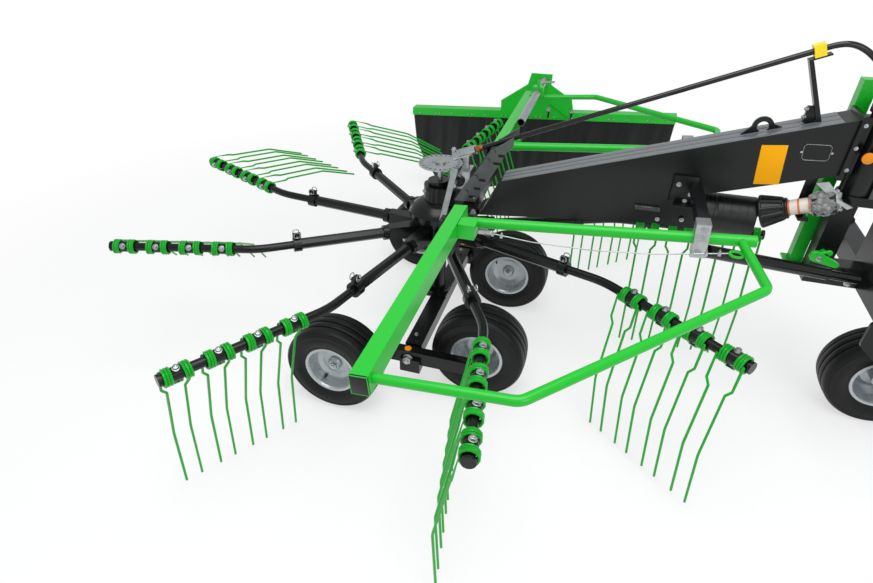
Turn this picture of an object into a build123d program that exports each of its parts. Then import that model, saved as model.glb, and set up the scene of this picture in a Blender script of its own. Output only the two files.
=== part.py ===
from build123d import *
import os
from math import atan2, cos, degrees, radians, sin, sqrt, tan

os.makedirs("parts", exist_ok=True)

# Single-rotor rotary hay rake on a three-point headstock.
# Frame: +X is the direction of travel, +Y is the left side, +Z is up.
# The origin lies on the rotor's axis at ground level. Lengths in millimetres.

# Clearances
seat_gap = 0.3
run_gap = 6.0
pin_gap = 0.4
overrun = 5.0

# Wheels: 16 x 6.50 - 8 floats
tyre_radius = 203.0
tyre_width = 165.0
tyre_crown = 5.0
tyre_shoulder = 17.0
tyre_bulge_radius = 158.0
rim_radius = 112.0
rim_seat_radius = 101.0
rim_wall = 4.0
rim_width = 140.0
rim_flange = 7.0
rim_disc_offset = 22.0
rim_step = 8.0
rim_step_radius = 78.0
rim_dish_radius = 58.0
hub_radius = 30.0
hub_length = 62.0
hub_cap_radius = 22.0
hub_cap_length = 9.0
axle_radius = 15.0

# Tandem chassis
rear_wheel_x = -260.0
rear_wheel_y = 603.0
front_wheel_x = 300.0
front_wheel_y = 341.0
bogie_bar_height = 62.0
bogie_bar_width = 42.0
bogie_bar_end = 45.0
bogie_y = (rear_wheel_y + front_wheel_y) / 2
bogie_pivot_x = 33.0
bogie_boss_width = 74.0
pivot_block_length = 88.0
pivot_block_bottom = 137.0
cross_axle_x = 27.0
cross_axle_width = 74.0
cross_axle_height = 60.0
axle_bracket_length = 134.0
column_radius = 44.0
column_flange_radius = 66.0
column_flange_height = 14.0

# Rotor
arm_count = 9
first_arm_azimuth = 137.8
arm_root_height = 585.0
arm_rise = 2.35
hub_drum_radius = 105.0
hub_drum_bottom = 545.0
hub_drum_top = 642.0
hub_sleeve_radius = 45.0
bracket_root_width = 66.0
bracket_tip_width = 44.0
bracket_height = 58.0
bracket_reach = 236.0
collar_radius = 33.0
collar_length = 24.0
sleeve_radius = 23.5
clamp_at = 640.0
clamp_radius = 31.0
clamp_length = 34.0
clamp_lug_height = 52.0
clamp_lug_width = 14.0
tine_tube_radius = 17.0
bend_at = 807.0
bend_angle = 18.9
bend_radius = 300.0
tine_bar_length = 520.0
tip_to_bend = 591.0

# Double tines
tines_per_arm = 4
tine_pitch = 134.0
coil_pair = 61.0
first_coil = 19.0
coil_radius = 31.0
coil_bore_radius = 22.0
coil_length = 29.0
coil_sides = 8
clip_radius = 22.5
clip_length = 30.0
clip_seat_height = 25.0
clip_seat_width = 22.0
clip_nut_radius = 8.0
clip_nut_height = 8.0
tube_cap_radius = 21.0
tube_cap_length = 9.0
wire_size = 9.0
tine_drop = 92.0
joggle_drop = 24.0
joggle_shift = 11.0
tine_upper = 362.0
tine_lower = 256.0
tine_kick = 13.5
# swing of each arm's tines away from hanging, set by the cam, arm by arm
swing_angles = (74.0, 82.0, 60.0, 17.0, 11.0, 10.0, 10.0, 14.0, 20.0)

# Gear housing and height adjuster
dome_radius = 126.0
dome_lip = 22.0
dome_height = 74.0
dome_top_radius = 62.0
gear_box_length = 196.0
gear_box_width = 120.0
gear_box_bottom = 690.0
gear_box_top = 792.0
cap_radius = 44.0
cap_top = 812.0
spindle_radius = 11.0
spindle_x = 9.0
spindle_length = 72.0
disc_radius = 94.0
disc_thickness = 6.0
disc_hub_radius = 24.0
disc_slot_count = 24
disc_slot_length = 15.0
disc_slot_width = 5.0
disc_slot_ring = 82.0

head_bracket_x = 106.0
head_bracket_length = 84.0
head_bracket_width = 84.0
head_bracket_wall = 5.0
plug_radius = 24.0
plug_depth = 8.0
lock_lever_top = (96.0, -84.0, 905.0)
lock_lever_foot = (57.0, -142.0, 672.0)
lock_lever_width = 24.0
lock_lever_thickness = 6.0
lever_pin_radius = 9.0
lever_pin_length = 50.0

# Slotted plates
slotted_plate_outline = ((90.0, 756.0), (183.0, 761.0), (301.0, 990.0), (323.0, 1018.0),
                         (322.0, 1052.0), (236.0, 988.0))
slotted_plate_thickness = 8.0
slot_places = ((168.0, 782.0), (188.0, 822.0), (208.0, 862.0), (262.0, 940.0), (280.0, 974.0))
slot_length = 30.0
slot_width = 12.0
plate_bolt_places = ((142.0, 800.0), (178.0, 872.0), (224.0, 948.0), (246.0, 985.0))
plate_bolt_radius = 11.0
plate_bolt_height = 8.0

# Main beam
beam_width = 120.0
beam_depth = 190.0
beam_slope = 0.315
beam_rear_x = 203.0
beam_rear_bottom = 700.0
beam_rear_top_x = 282.0
beam_rear_top = 862.0
beam_front_x = 1430.0
deep_web_end_x = 905.0
deep_web_end_bottom = 770.0
beam_wall = 8.0
eye_x = 1171.0
eye_height = 1160.0
eye_radius = 34.0
eye_hole_radius = 18.0
eye_foot = 72.0
eye_thickness = 10.0
eye_shoulder_share = 0.5
front_flange_thickness = 14.0
front_flange_margin = 12.0

# Drive input and parked drive shaft
input_x = 1092.0
input_box_height = 104.0
input_flange_radius = 74.0
input_flange_thickness = 12.0
guard_pot_radius = 78.0
guard_pot_length = 132.0
guard_pot_wall = 5.0
shaft_tilt = 24.0
bell_radius_big = 58.0
bell_radius_small = 36.0
bell_length = 70.0
bell_start = 97.0
shaft_turn = 14.0
shaft_tube_radius = 27.0
shaft_tube_length = 88.0
yoke_length = 68.0
yoke_width = 62.0
stub_shaft_radius = 18.0
joint_radius = 30.0

# Headstock
swivel_x = 1520.0
swivel_tube_radius = 48.0
swivel_bottom = 962.0
swivel_top = 1238.0
swivel_pin_radius = 22.0
ear_thickness = 32.0
ear_radius = 56.0
column_x = 1505.0
column_size = 70.0
foot_bar_bottom = 600.0
mast_width = 150.0
mast_plate = 14.0
mast_x = 1650.0
mast_foot_depth = 80.0
mast_head_depth = 84.0
link_pin_radius = 14.0
link_pin_length = 86.0
link_pin_x = 1690.0
link_pin_height = 572.0
link_plate_y = 404.0
link_plate_thickness = 12.0
link_plate_rear_x = 1566.0
link_plate_top = 700.0
link_plate_bottom = 526.0
link_plate_round = 40.0
top_link_height = 1310.0
top_link_bore = 12.9
cross_tube_size = 80.0

# Front wheel and its carrier
jockey_x = 1886.0
jockey_leg_y = 128.0
jockey_leg_size = 60.0

# Shaft rest
rest_x = 1375.0
rest_y = 15.5
rest_length = 34.0
rest_width = 74.0
rest_thickness = 6.0
rest_bottom = 866.4

# Oil line, its clamp and stay
line_start_x = 160.0
line_start_height = 964.0
clamp_x = 1257.0
clamp_height = 1415.0
line_radius = 9.5
swivel_body_length = 100.0
swivel_body_radius = 20.0
swivel_foot_x = 122.0
swivel_foot_length = 26.0
swivel_foot_width = 30.0
swivel_foot_height = 62.0
clamp_block_length = 32.0
clamp_block_height = 38.0
clamp_block_width = 34.0
stay_foot_x = 1322.0
stay_width = 30.0
stay_depth = 14.0
stay_thickness = 5.0

# Free hose, its coupling and holder
hose_route = ((1272.5, 0.0, 1421.6), (1307.7, 0.0, 1436.1), (1352.7, 0.0, 1436.1),
              (1402.1, 1.0, 1411.7), (1454.0, 10.0, 1366.0), (1545.0, 54.0, 1316.0),
              (1650.0, 98.0, 1294.0), (1752.0, 118.0, 1260.0), (1832.0, 121.0, 1200.0),
              (1884.0, 122.0, 1110.0), (1897.0, 122.0, 1006.0), (1859.5, 121.0, 934.4),
              (1786.4, 119.0, 901.8), (1708.8, 116.0, 921.2), (1659.5, 112.0, 984.2),
              (1664.0, 106.0, 1062.0), (1660.0, 104.0, 1135.0), (1660.0, 104.0, 1195.0))
hose_arc_share = 0.45
coupling_radius = 14.0
coupling_length = 62.0
holder_wall = 4.0
holder_width = 20.0
holder_height = 16.0

# Stabiliser strut
strut_radius = 22.0
strut_rod_radius = 17.0
strut_rear_height = 865.0
strut_front_x = 1640.0
strut_front_y = -100.0
strut_front_height = 672.0
strut_step_share = 0.75
strut_start = 39.0
strut_eye = 44.0

# Parking stand
stand_x = 1462.0
stand_size = 45.0
stand_bottom = 612.0
stand_top = 1318.0
stand_foot = 80.0
stand_foot_thickness = 8.0
stand_sleeve_wall = 6.0
stand_sleeve_height = 130.0

# Guards
guard_axis_y = 413.0
guard_axis_height = 824.0
guard_rise = 0.083
guard_tube_radius = 19.0
guard_tube_front_x = 1165.0
guard_leg_x = 1122.0
guard_outer_radius = 14.0
guard_corner_front = (1155.0, 698.0)
guard_corner_rear = (574.0, 1286.0)
guard_beam_width = 50.0
guard_beam_wall = 4.0
guard_beam_height = 60.0
guard_beam_x = 190.0
guard_beam_inner_y = 335.0
guard_beam_outer_y = 1322.0
guard_bend_radius = 45.0
guard_bracket_x = 1005.0
guard_bracket_width = 44.0
guard_bracket_thickness = 8.0
guard_bracket_height = 118.0
carrier_size = 50.0
carrier_top = 746.0
carrier_lug = 14.0
carrier_lug_width = 56.0
hinge_pin_radius = 12.0
hinge_pin_length = 50.0
hinge_block_y = 462.0
hinge_block_length = 62.0
hinge_block_width = 56.0
hinge_block_height = 26.0
boom_x = 245.0
boom_lift = 52.23
boom_radius = 21.0
boom_start_y = 630.0
boom_sleeve_y = 1200.0
boom_sleeve_length = 60.0
boom_sleeve_size = 60.0
clamp_screw_radius = 8.0
clamp_screw_height = 34.0
guard_arm_size = 36.0
wire_ring_x = 1100.0
wire_ring_y = 500.0
wire_ring_height = 908.0
wire_ring_radius = 22.0
wire_ring_bar = 6.0
wire_start_height = 842.0
guard_wire_radius = 2.0
guard_wire_sag = 36.0
wire_bend_radius = 200.0
# shares of the wire's run, each with its share of the sag
wire_sag_shares = ((0.0, 0.0), (0.25, 0.75), (0.5, 1.0), (0.75, 0.75), (1.0, 0.0))
guard_arm_lift = 34.0

# Swath curtain
curtain_y = 1520.0
curtain_rear_x = -630.0
curtain_front_x = 1058.0
curtain_top = 686.0
curtain_rise = 0.055
curtain_rail = 48.0
curtain_rail_thickness = 4.0
curtain_flange = 74.0
curtain_cloth = 6.0
cloth_bottom = 135.0
curtain_taper = 26.0
curtain_cut_height = 260.0
curtain_cut_length = 130.0
boom_wall = 4.0
gusset_outline = ((-14.0, 645.0), (-20.0, 742.0), (143.0, 856.0), (160.0, 925.0), (290.0, 925.0),
                  (290.0, 861.0), (428.0, 780.0), (457.0, 663.0))


def save(builder, name):
    builder.part.label = name
    export_step(builder.part, "parts/" + name + ".step")


# Tyres and rims
def tyre_profile():
    half = tyre_width / 2
    shoulder = half - tyre_shoulder
    side = half - tyre_crown
    wall_top = tyre_radius - tyre_shoulder
    foot = rim_width / 2
    bead = foot - rim_wall - seat_gap
    lip = rim_radius + seat_gap
    with BuildSketch(Plane.XZ) as profile:
        with BuildLine():
            Polyline((wall_top, -side), (tyre_radius - tyre_crown, -shoulder), (tyre_radius, 0),
                     (tyre_radius - tyre_crown, shoulder), (wall_top, side))
            ThreePointArc((wall_top, side), (tyre_bulge_radius, half), (lip, foot))
            Polyline((lip, foot), (lip, bead), (rim_seat_radius, bead), (rim_seat_radius, -bead),
                     (lip, -bead), (lip, -foot))
            ThreePointArc((lip, -foot), (tyre_bulge_radius, -half), (wall_top, -side))
        make_face()
    return profile.sketch


def rim_profile():
    half = rim_width / 2
    seat = rim_seat_radius - seat_gap
    disc = rim_disc_offset
    with BuildSketch(Plane.XZ) as profile:
        with BuildLine():
            Polyline((rim_radius, half), (rim_radius, half - rim_wall), (seat, half - rim_wall),
                     (seat, -half + rim_wall), (rim_radius, -half + rim_wall), (rim_radius, -half),
                     (seat, -half), (seat - rim_wall, -half + rim_flange),
                     (seat - rim_wall, disc - rim_wall),
                     (rim_step_radius, disc - rim_wall), (rim_dish_radius, disc - rim_step - rim_wall),
                     (hub_radius, disc - rim_step - rim_wall), (hub_radius, disc - hub_length),
                     (axle_radius + pin_gap, disc - hub_length), (axle_radius + pin_gap, disc),
                     (0, disc), (0, disc + hub_cap_length), (hub_cap_radius, disc + hub_cap_length),
                     (hub_radius, disc), (hub_radius, disc - rim_step),
                     (rim_dish_radius, disc - rim_step), (rim_step_radius, disc),
                     (seat - rim_wall, disc), (seat - rim_wall, half - rim_flange), (seat, half),
                     (rim_radius, half))
        make_face()
    return profile.sketch


# wheel name, place along X, place along Y, side on which the hub cap looks
wheels = (
    ("rear_right", rear_wheel_x, -rear_wheel_y, -1),
    ("rear_left", rear_wheel_x, rear_wheel_y, 1),
    ("front_right", front_wheel_x, -front_wheel_y, 1),
    ("front_left", front_wheel_x, front_wheel_y, -1),
    ("jockey", jockey_x, 0.0, 1),
)
for name, x, y, side in wheels:
    seat_plane = Plane(origin=(x, y, tyre_radius), x_dir=(1, 0, 0), z_dir=(0, side, 0))
    with BuildPart() as tyre:
        add(seat_plane * revolve(tyre_profile(), axis=Axis.Z, mode=Mode.PRIVATE))
    save(tyre, "tyre_" + name)
    with BuildPart() as rim:
        add(seat_plane * revolve(rim_profile(), axis=Axis.Z, mode=Mode.PRIVATE))
    save(rim, "rim_" + name)

# Bogies: one bar on each side carries the rear wheel outboard and the front wheel inboard
for label, side in (("right", -1), ("left", 1)):
    bar_length = front_wheel_x - rear_wheel_x + 2 * bogie_bar_end
    bar_x = (front_wheel_x + rear_wheel_x) / 2
    rear_inner = rear_wheel_y + rim_disc_offset - seat_gap
    front_inner = front_wheel_y - rim_disc_offset + seat_gap
    with BuildPart() as bogie:
        with Locations((bar_x, side * bogie_y, tyre_radius)):
            Box(bar_length, bogie_bar_width, bogie_bar_height)
        with BuildSketch(Plane.XZ.offset(-side * (bogie_y - bogie_boss_width / 2))):
            with Locations((bogie_pivot_x, pivot_block_bottom)):
                Rectangle(pivot_block_length, tyre_radius - pivot_block_bottom,
                          align=(Align.CENTER, Align.MIN))
        extrude(amount=-side * bogie_boss_width)
        with BuildSketch(Plane.XZ.offset(-side * bogie_y)):
            with Locations((rear_wheel_x, tyre_radius)):
                Circle(axle_radius)
        extrude(amount=-side * (rear_inner - bogie_y))
        with BuildSketch(Plane.XZ.offset(-side * front_inner)):
            with Locations((front_wheel_x, tyre_radius)):
                Circle(axle_radius)
        extrude(amount=-side * (bogie_y - front_inner))
    save(bogie, "bogie_" + label)

# Cross axle and its bolted bracket round the column
cross_axle_reach = bogie_y - bogie_boss_width / 2
column_bottom = tyre_radius + cross_axle_height / 2
with BuildPart() as cross_axle:
    with Locations((cross_axle_x, 0, tyre_radius)):
        Box(cross_axle_width, cross_axle_reach * 2, cross_axle_height)
    with Locations((0, 0, column_bottom)):
        Box(axle_bracket_length, axle_bracket_length, column_flange_height,
            align=(Align.CENTER, Align.CENTER, Align.MIN))
save(cross_axle, "cross_axle")

flange_seat = column_bottom + column_flange_height
with BuildPart() as column:
    with BuildSketch(Plane.XY.offset(flange_seat)):
        Circle(column_flange_radius)
    extrude(amount=column_flange_height)
    with BuildSketch(Plane.XY.offset(flange_seat)):
        Circle(column_radius)
    extrude(amount=gear_box_bottom - flange_seat)
    with BuildSketch(Plane.XY.offset(hub_drum_bottom - run_gap - column_flange_height)):
        Circle(column_flange_radius)
    extrude(amount=column_flange_height)
    with BuildSketch(Plane.XY.offset(hub_drum_bottom - column_flange_height)):
        Circle(hub_sleeve_radius - pin_gap)
    extrude(amount=gear_box_bottom - hub_drum_bottom + column_flange_height)
save(column, "rotor_column")

# Rotor hub with a bearing bracket for each arm
arm_tilt = Location((0, 0, arm_root_height), (0, -arm_rise, 0))
azimuths = [first_arm_azimuth + turn * 360 / arm_count for turn in range(arm_count)]
with BuildPart() as rotor_hub:
    with BuildSketch(Plane.XY.offset(hub_drum_bottom)):
        Circle(hub_drum_radius)
    extrude(amount=hub_drum_top - hub_drum_bottom)
    for azimuth in azimuths:
        arm_plane = Plane(Location((0, 0, 0), (0, 0, azimuth)) * arm_tilt)
        with BuildSketch(arm_plane.offset(-bracket_height / 2)):
            with BuildLine():
                Polyline((0, bracket_root_width / 2), (hub_drum_radius, bracket_root_width / 2),
                         (bracket_reach, bracket_tip_width / 2),
                         (bracket_reach, -bracket_tip_width / 2),
                         (hub_drum_radius, -bracket_root_width / 2),
                         (0, -bracket_root_width / 2), (0, bracket_root_width / 2))
            make_face()
        extrude(amount=bracket_height)
    with BuildSketch(Plane.XY.offset(hub_drum_bottom - overrun)):
        Circle(hub_sleeve_radius)
    extrude(amount=hub_drum_top - hub_drum_bottom + 2 * overrun, mode=Mode.SUBTRACT)
save(rotor_hub, "rotor_hub")

# One arm, drawn along +X: sleeve, clamp and the swept tine tube up to the tine bar
bend_x = bend_at
tip_x = bend_at + tip_to_bend * cos(radians(bend_angle))
tip_y = -tip_to_bend * sin(radians(bend_angle))
bar_start = tip_to_bend - tine_bar_length
arm_start = bracket_reach + seat_gap
with BuildPart() as arm:
    with BuildSketch(Plane.YZ.offset(arm_start)):
        Circle(collar_radius)
    extrude(amount=collar_length)
    with BuildSketch(Plane.YZ.offset(arm_start + collar_length)):
        RegularPolygon(sleeve_radius, 8, rotation=22.5)
    extrude(amount=clamp_at - arm_start - collar_length)
    with BuildSketch(Plane.YZ.offset(clamp_at - clamp_length / 2)):
        Circle(clamp_radius)
        with Locations((0, clamp_lug_height / 2)):
            Rectangle(clamp_lug_width, clamp_lug_height)
    extrude(amount=clamp_length)
    with BuildLine():
        FilletPolyline((clamp_at, 0, 0), (bend_x, 0, 0),
                       (bend_x + bar_start * cos(radians(bend_angle)),
                        -bar_start * sin(radians(bend_angle)), 0), radius=bend_radius)
    with BuildSketch(Plane.YZ.offset(clamp_at)):
        Circle(tine_tube_radius)
    sweep()

# One double tine, drawn on a tube along +X with its tines hanging down
with BuildPart() as double_tine:
    for at, turn in ((-coil_pair / 2, 1), (coil_pair / 2, -1)):
        with BuildSketch(Plane.YZ.offset(at - coil_length / 2)):
            RegularPolygon(coil_radius, coil_sides)
            RegularPolygon(coil_bore_radius, coil_sides, mode=Mode.SUBTRACT)
        extrude(amount=coil_length)
        start_x = at - turn * (coil_length - wire_size) / 2
        start_y = -(coil_radius - wire_size)
        kick_y = start_y + tine_lower * sin(radians(tine_kick))
        kick_z = -tine_upper - tine_lower * cos(radians(tine_kick))
        with BuildLine():
            Polyline((start_x, start_y, 0), (start_x, start_y, -tine_drop),
                     (start_x + turn * joggle_shift, start_y, -tine_drop - joggle_drop),
                     (start_x + turn * joggle_shift, start_y, -tine_upper),
                     (start_x + turn * joggle_shift, kick_y, kick_z))
        with BuildSketch(Plane.XY):
            with Locations((start_x, start_y)):
                Rectangle(wire_size, wire_size)
        sweep(transition=Transition.RIGHT)
    with Locations((0, 0, -clip_radius - seat_gap)):
        Box(coil_pair, wire_size, coil_radius - clip_radius - seat_gap,
            align=(Align.CENTER, Align.CENTER, Align.MAX))

tine_places = [-(first_coil + coil_pair / 2 + place * tine_pitch) for place in range(tines_per_arm)]
arms = []
tines = []
bar_frame = Location((tip_x, tip_y, 0), (0, 0, -bend_angle))
for azimuth, swing in zip(azimuths, swing_angles):
    arm_frame = Location((0, 0, 0), (0, 0, azimuth)) * arm_tilt
    with BuildPart() as tine_tube:
        with BuildSketch(Plane.YZ.offset(-tine_bar_length)):
            Circle(tine_tube_radius)
        extrude(amount=tine_bar_length)
        with BuildSketch(Plane.YZ):
            Circle(tube_cap_radius)
        extrude(amount=tube_cap_length)
        for centre in tine_places:
            with BuildSketch(Plane.YZ.offset(centre - clip_length / 2)):
                Circle(clip_radius)
            extrude(amount=clip_length)
            with Locations(Location((centre, 0, 0), (-swing, 0, 0))):
                Box(clip_length, clip_seat_width, clip_seat_height,
                    align=(Align.CENTER, Align.CENTER, Align.MIN))
            clip_top = Location((centre, 0, 0), (-swing, 0, 0)) * Location((0, 0, clip_seat_height))
            with Locations(clip_top):
                Cylinder(clip_nut_radius, clip_nut_height, align=(Align.CENTER, Align.CENTER, Align.MIN))
    with BuildPart() as whole_arm:
        add(arm.part)
        add(bar_frame * tine_tube.part)
    arms.append(arm_frame * whole_arm.part)
    for centre in tine_places:
        tines.append(arm_frame * bar_frame * Location((centre, 0, 0), (-swing, 0, 0))
                     * double_tine.part)
with BuildPart() as rotor_arms:
    add(arms)
save(rotor_arms, "rotor_arms")
with BuildPart() as tine_sets:
    add(tines)
save(tine_sets, "tine_sets")

# Gear housing over the rotor, with its round lid
lid_bottom = hub_drum_top + run_gap
with BuildPart() as housing_lid:
    with BuildSketch(Plane.XZ):
        with BuildLine():
            Polyline((0, lid_bottom), (dome_radius, lid_bottom), (dome_radius, lid_bottom + dome_lip))
            ThreePointArc((dome_radius, lid_bottom + dome_lip),
                          (dome_radius - dome_lip, lid_bottom + dome_height - dome_lip),
                          (dome_top_radius, lid_bottom + dome_height))
            Polyline((dome_top_radius, lid_bottom + dome_height), (0, lid_bottom + dome_height),
                     (0, lid_bottom))
        make_face()
    revolve(axis=Axis.Z)
    with BuildSketch(Plane.XY.offset(lid_bottom - overrun)):
        Circle(hub_sleeve_radius)
    extrude(amount=gear_box_bottom - lid_bottom + overrun, mode=Mode.SUBTRACT)
save(housing_lid, "housing_lid")

lid_top = lid_bottom + dome_height
with BuildPart() as gear_housing:
    with BuildSketch(Plane.XY.offset(lid_top)):
        Circle(dome_top_radius)
        with Locations((gear_box_length / 2, 0)):
            Rectangle(gear_box_length, gear_box_width)
    extrude(amount=gear_box_top - lid_top)
    with BuildSketch(Plane.XY.offset(gear_box_top)):
        Circle(cap_radius)
    extrude(amount=cap_top - gear_box_top)
save(gear_housing, "gear_housing")

disc_height = cap_top + spindle_length
with BuildPart() as height_spindle:
    with BuildSketch(Plane.XY.offset(cap_top)):
        with Locations((spindle_x, 0)):
            Circle(spindle_radius)
    extrude(amount=spindle_length)
save(height_spindle, "height_spindle")

with BuildPart() as height_disc:
    with BuildSketch(Plane.XY.offset(disc_height)):
        with Locations((spindle_x, 0)):
            Circle(disc_radius)
            with PolarLocations(disc_slot_ring, disc_slot_count):
                SlotOverall(disc_slot_length, disc_slot_width, mode=Mode.SUBTRACT)
    extrude(amount=disc_thickness)
    with BuildSketch(Plane.XY.offset(disc_height + disc_thickness)):
        with Locations((spindle_x, 0)):
            Circle(disc_hub_radius)
    extrude(amount=disc_thickness)
save(height_disc, "height_disc")

# Zinc bracket in front of the spindle, with the lock lever on its right
bracket_top = disc_height - run_gap
with BuildPart() as head_bracket:
    with BuildSketch(Plane.XY.offset(gear_box_top)):
        with Locations((head_bracket_x, 0)):
            Rectangle(head_bracket_length, head_bracket_width)
            Rectangle(head_bracket_length - 2 * head_bracket_wall,
                      head_bracket_width - 2 * head_bracket_wall, mode=Mode.SUBTRACT)
    extrude(amount=bracket_top - gear_box_top)
    with Locations((head_bracket_x, 0, bracket_top)):
        Box(head_bracket_length, head_bracket_width, head_bracket_wall,
            align=(Align.CENTER, Align.CENTER, Align.MAX))
    with Locations((head_bracket_x, 0, gear_box_top)):
        Box(head_bracket_length, head_bracket_width, head_bracket_wall,
            align=(Align.CENTER, Align.CENTER, Align.MIN))
    with BuildSketch(Plane.XZ.offset(head_bracket_width / 2)):
        with Locations((lock_lever_top[0], (bracket_top + gear_box_top) / 2)):
            Circle(plug_radius)
    extrude(amount=plug_depth)
save(head_bracket, "head_bracket")

lever_way = Vector(*lock_lever_foot) - Vector(*lock_lever_top)
with BuildPart() as lock_lever:
    with BuildSketch(Plane(origin=lock_lever_top, x_dir=(1, 0, 0), z_dir=lever_way)):
        Rectangle(lock_lever_width, lock_lever_thickness)
    extrude(amount=lever_way.length)
    with BuildSketch(Plane.XZ.offset(head_bracket_width / 2 + plug_depth + seat_gap)):
        with Locations((lock_lever_top[0], (bracket_top + gear_box_top) / 2)):
            Circle(lever_pin_radius)
    extrude(amount=lever_pin_length)
save(lock_lever, "lock_lever")

# Slotted plates that join the beam to the gear housing
for label, side in (("right", -1), ("left", 1)):
    with BuildPart() as slotted_plate:
        with BuildSketch(Plane.XZ.offset(-side * (beam_width / 2 + seat_gap))):
            with BuildLine():
                Polyline(*slotted_plate_outline, close=True)
            make_face()
            with Locations(*slot_places):
                SlotOverall(slot_length, slot_width, mode=Mode.SUBTRACT)
        extrude(amount=-side * slotted_plate_thickness)
        with BuildSketch(Plane.XZ.offset(-side * (beam_width / 2 + seat_gap + slotted_plate_thickness))):
            with Locations(*plate_bolt_places):
                RegularPolygon(plate_bolt_radius, 6)
        extrude(amount=-side * plate_bolt_height)
    save(slotted_plate, "slotted_plate_" + label)

# Main beam: a deep web behind, a slimmer box in front
beam_front_top = beam_rear_top + (beam_front_x - beam_rear_top_x) * beam_slope
deep_web_corner = beam_front_top - beam_depth - (beam_front_x - deep_web_end_x) * beam_slope
input_height = deep_web_corner - seat_gap - input_box_height / 2


def beam_top(x):
    return beam_rear_top + (x - beam_rear_top_x) * beam_slope


with BuildPart() as main_beam:
    with BuildSketch(Plane.XZ.offset(-beam_width / 2)):
        with BuildLine():
            Polyline((beam_rear_x, beam_rear_bottom), (beam_rear_top_x, beam_rear_top),
                     (beam_front_x, beam_front_top), (beam_front_x, beam_front_top - beam_depth),
                     (deep_web_end_x, deep_web_corner), (deep_web_end_x, deep_web_end_bottom),
                     (beam_rear_x, beam_rear_bottom))
        make_face()
    extrude(amount=beam_width)
    with BuildSketch(Plane.XZ.offset(-eye_thickness / 2)):
        with Locations((eye_x, eye_height)):
            Circle(eye_radius)
        with BuildLine():
            Polyline((eye_x - eye_foot, beam_top(eye_x - eye_foot) - overrun),
                     (eye_x - eye_radius * eye_shoulder_share, eye_height + eye_radius / 2),
                     (eye_x + eye_radius * eye_shoulder_share, eye_height + eye_radius / 2),
                     (eye_x + eye_foot, beam_top(eye_x + eye_foot) - overrun), close=True)
        make_face()
        with Locations((eye_x, eye_height)):
            Circle(eye_hole_radius, mode=Mode.SUBTRACT)
    extrude(amount=eye_thickness)
save(main_beam, "main_beam")

# Swivel head at the front of the beam
head_plate_height = beam_depth + 2 * front_flange_margin
with BuildPart() as swivel_head:
    with Locations((beam_front_x, 0, beam_front_top - beam_depth / 2)):
        Box(front_flange_thickness, beam_width + 2 * front_flange_margin, head_plate_height,
            align=(Align.MIN, Align.CENTER, Align.CENTER))
    with Locations((beam_front_x + front_flange_thickness, 0, beam_front_top - beam_depth / 2)):
        Box(swivel_x - beam_front_x - front_flange_thickness, swivel_tube_radius, beam_depth,
            align=(Align.MIN, Align.CENTER, Align.CENTER))
    with BuildSketch(Plane.XY.offset(swivel_bottom)):
        with Locations((swivel_x, 0)):
            Circle(swivel_tube_radius)
    extrude(amount=swivel_top - swivel_bottom)
    with BuildSketch(Plane.XY.offset(swivel_bottom - overrun)):
        with Locations((swivel_x, 0)):
            Circle(swivel_pin_radius + pin_gap)
    extrude(amount=swivel_top - swivel_bottom + 2 * overrun, mode=Mode.SUBTRACT)
save(swivel_head, "swivel_head")

# Headstock: ears round the swivel tube, column, foot bar and mast plates
ear_bottoms = (swivel_bottom - pin_gap - ear_thickness, swivel_top + pin_gap)
foot_bar_top = foot_bar_bottom + cross_tube_size
mast_bottom = foot_bar_top + seat_gap
mast_top = top_link_height + mast_head_depth / 2
with BuildPart() as headstock_mast:
    for bottom in ear_bottoms:
        with BuildSketch(Plane.XY.offset(bottom)):
            with Locations((swivel_x, 0)):
                Circle(ear_radius)
            with Locations((swivel_x, 0)):
                Rectangle(mast_x - swivel_x, ear_radius * 2, align=(Align.MIN, Align.CENTER))
        extrude(amount=ear_thickness)
    with BuildSketch(Plane.XY.offset(ear_bottoms[0])):
        with Locations((swivel_x, 0)):
            Circle(swivel_pin_radius)
    extrude(amount=ear_bottoms[1] + ear_thickness - ear_bottoms[0])
    with Locations((column_x, 0, foot_bar_bottom)):
        Box(column_size, column_size, ear_bottoms[0] - foot_bar_bottom,
            align=(Align.CENTER, Align.CENTER, Align.MIN))
    with Locations((column_x, 0, foot_bar_bottom)):
        Box(mast_x - seat_gap - column_x, column_size, cross_tube_size,
            align=(Align.MIN, Align.CENTER, Align.MIN))
    for side in (-1, 1):
        with BuildSketch(Plane.XZ.offset(-side * (mast_width / 2 - mast_plate))):
            with BuildLine():
                Polyline((mast_x, mast_bottom), (mast_x + cross_tube_size, mast_bottom),
                         (mast_x + mast_foot_depth, mast_top), (mast_x, mast_top),
                         (mast_x, mast_bottom))
            make_face()
        extrude(amount=-side * mast_plate)
    with Locations((mast_x, 0, mast_bottom)):
        Box(mast_plate, mast_width, ear_bottoms[1] + ear_thickness - mast_bottom,
            align=(Align.MIN, Align.CENTER, Align.MIN))
    with BuildSketch(Plane.XZ.offset(-mast_width)):
        with Locations((mast_x + mast_foot_depth / 2, top_link_height)):
            Circle(top_link_bore)
    extrude(amount=mast_width * 2, mode=Mode.SUBTRACT)
save(headstock_mast, "headstock_mast")

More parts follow.
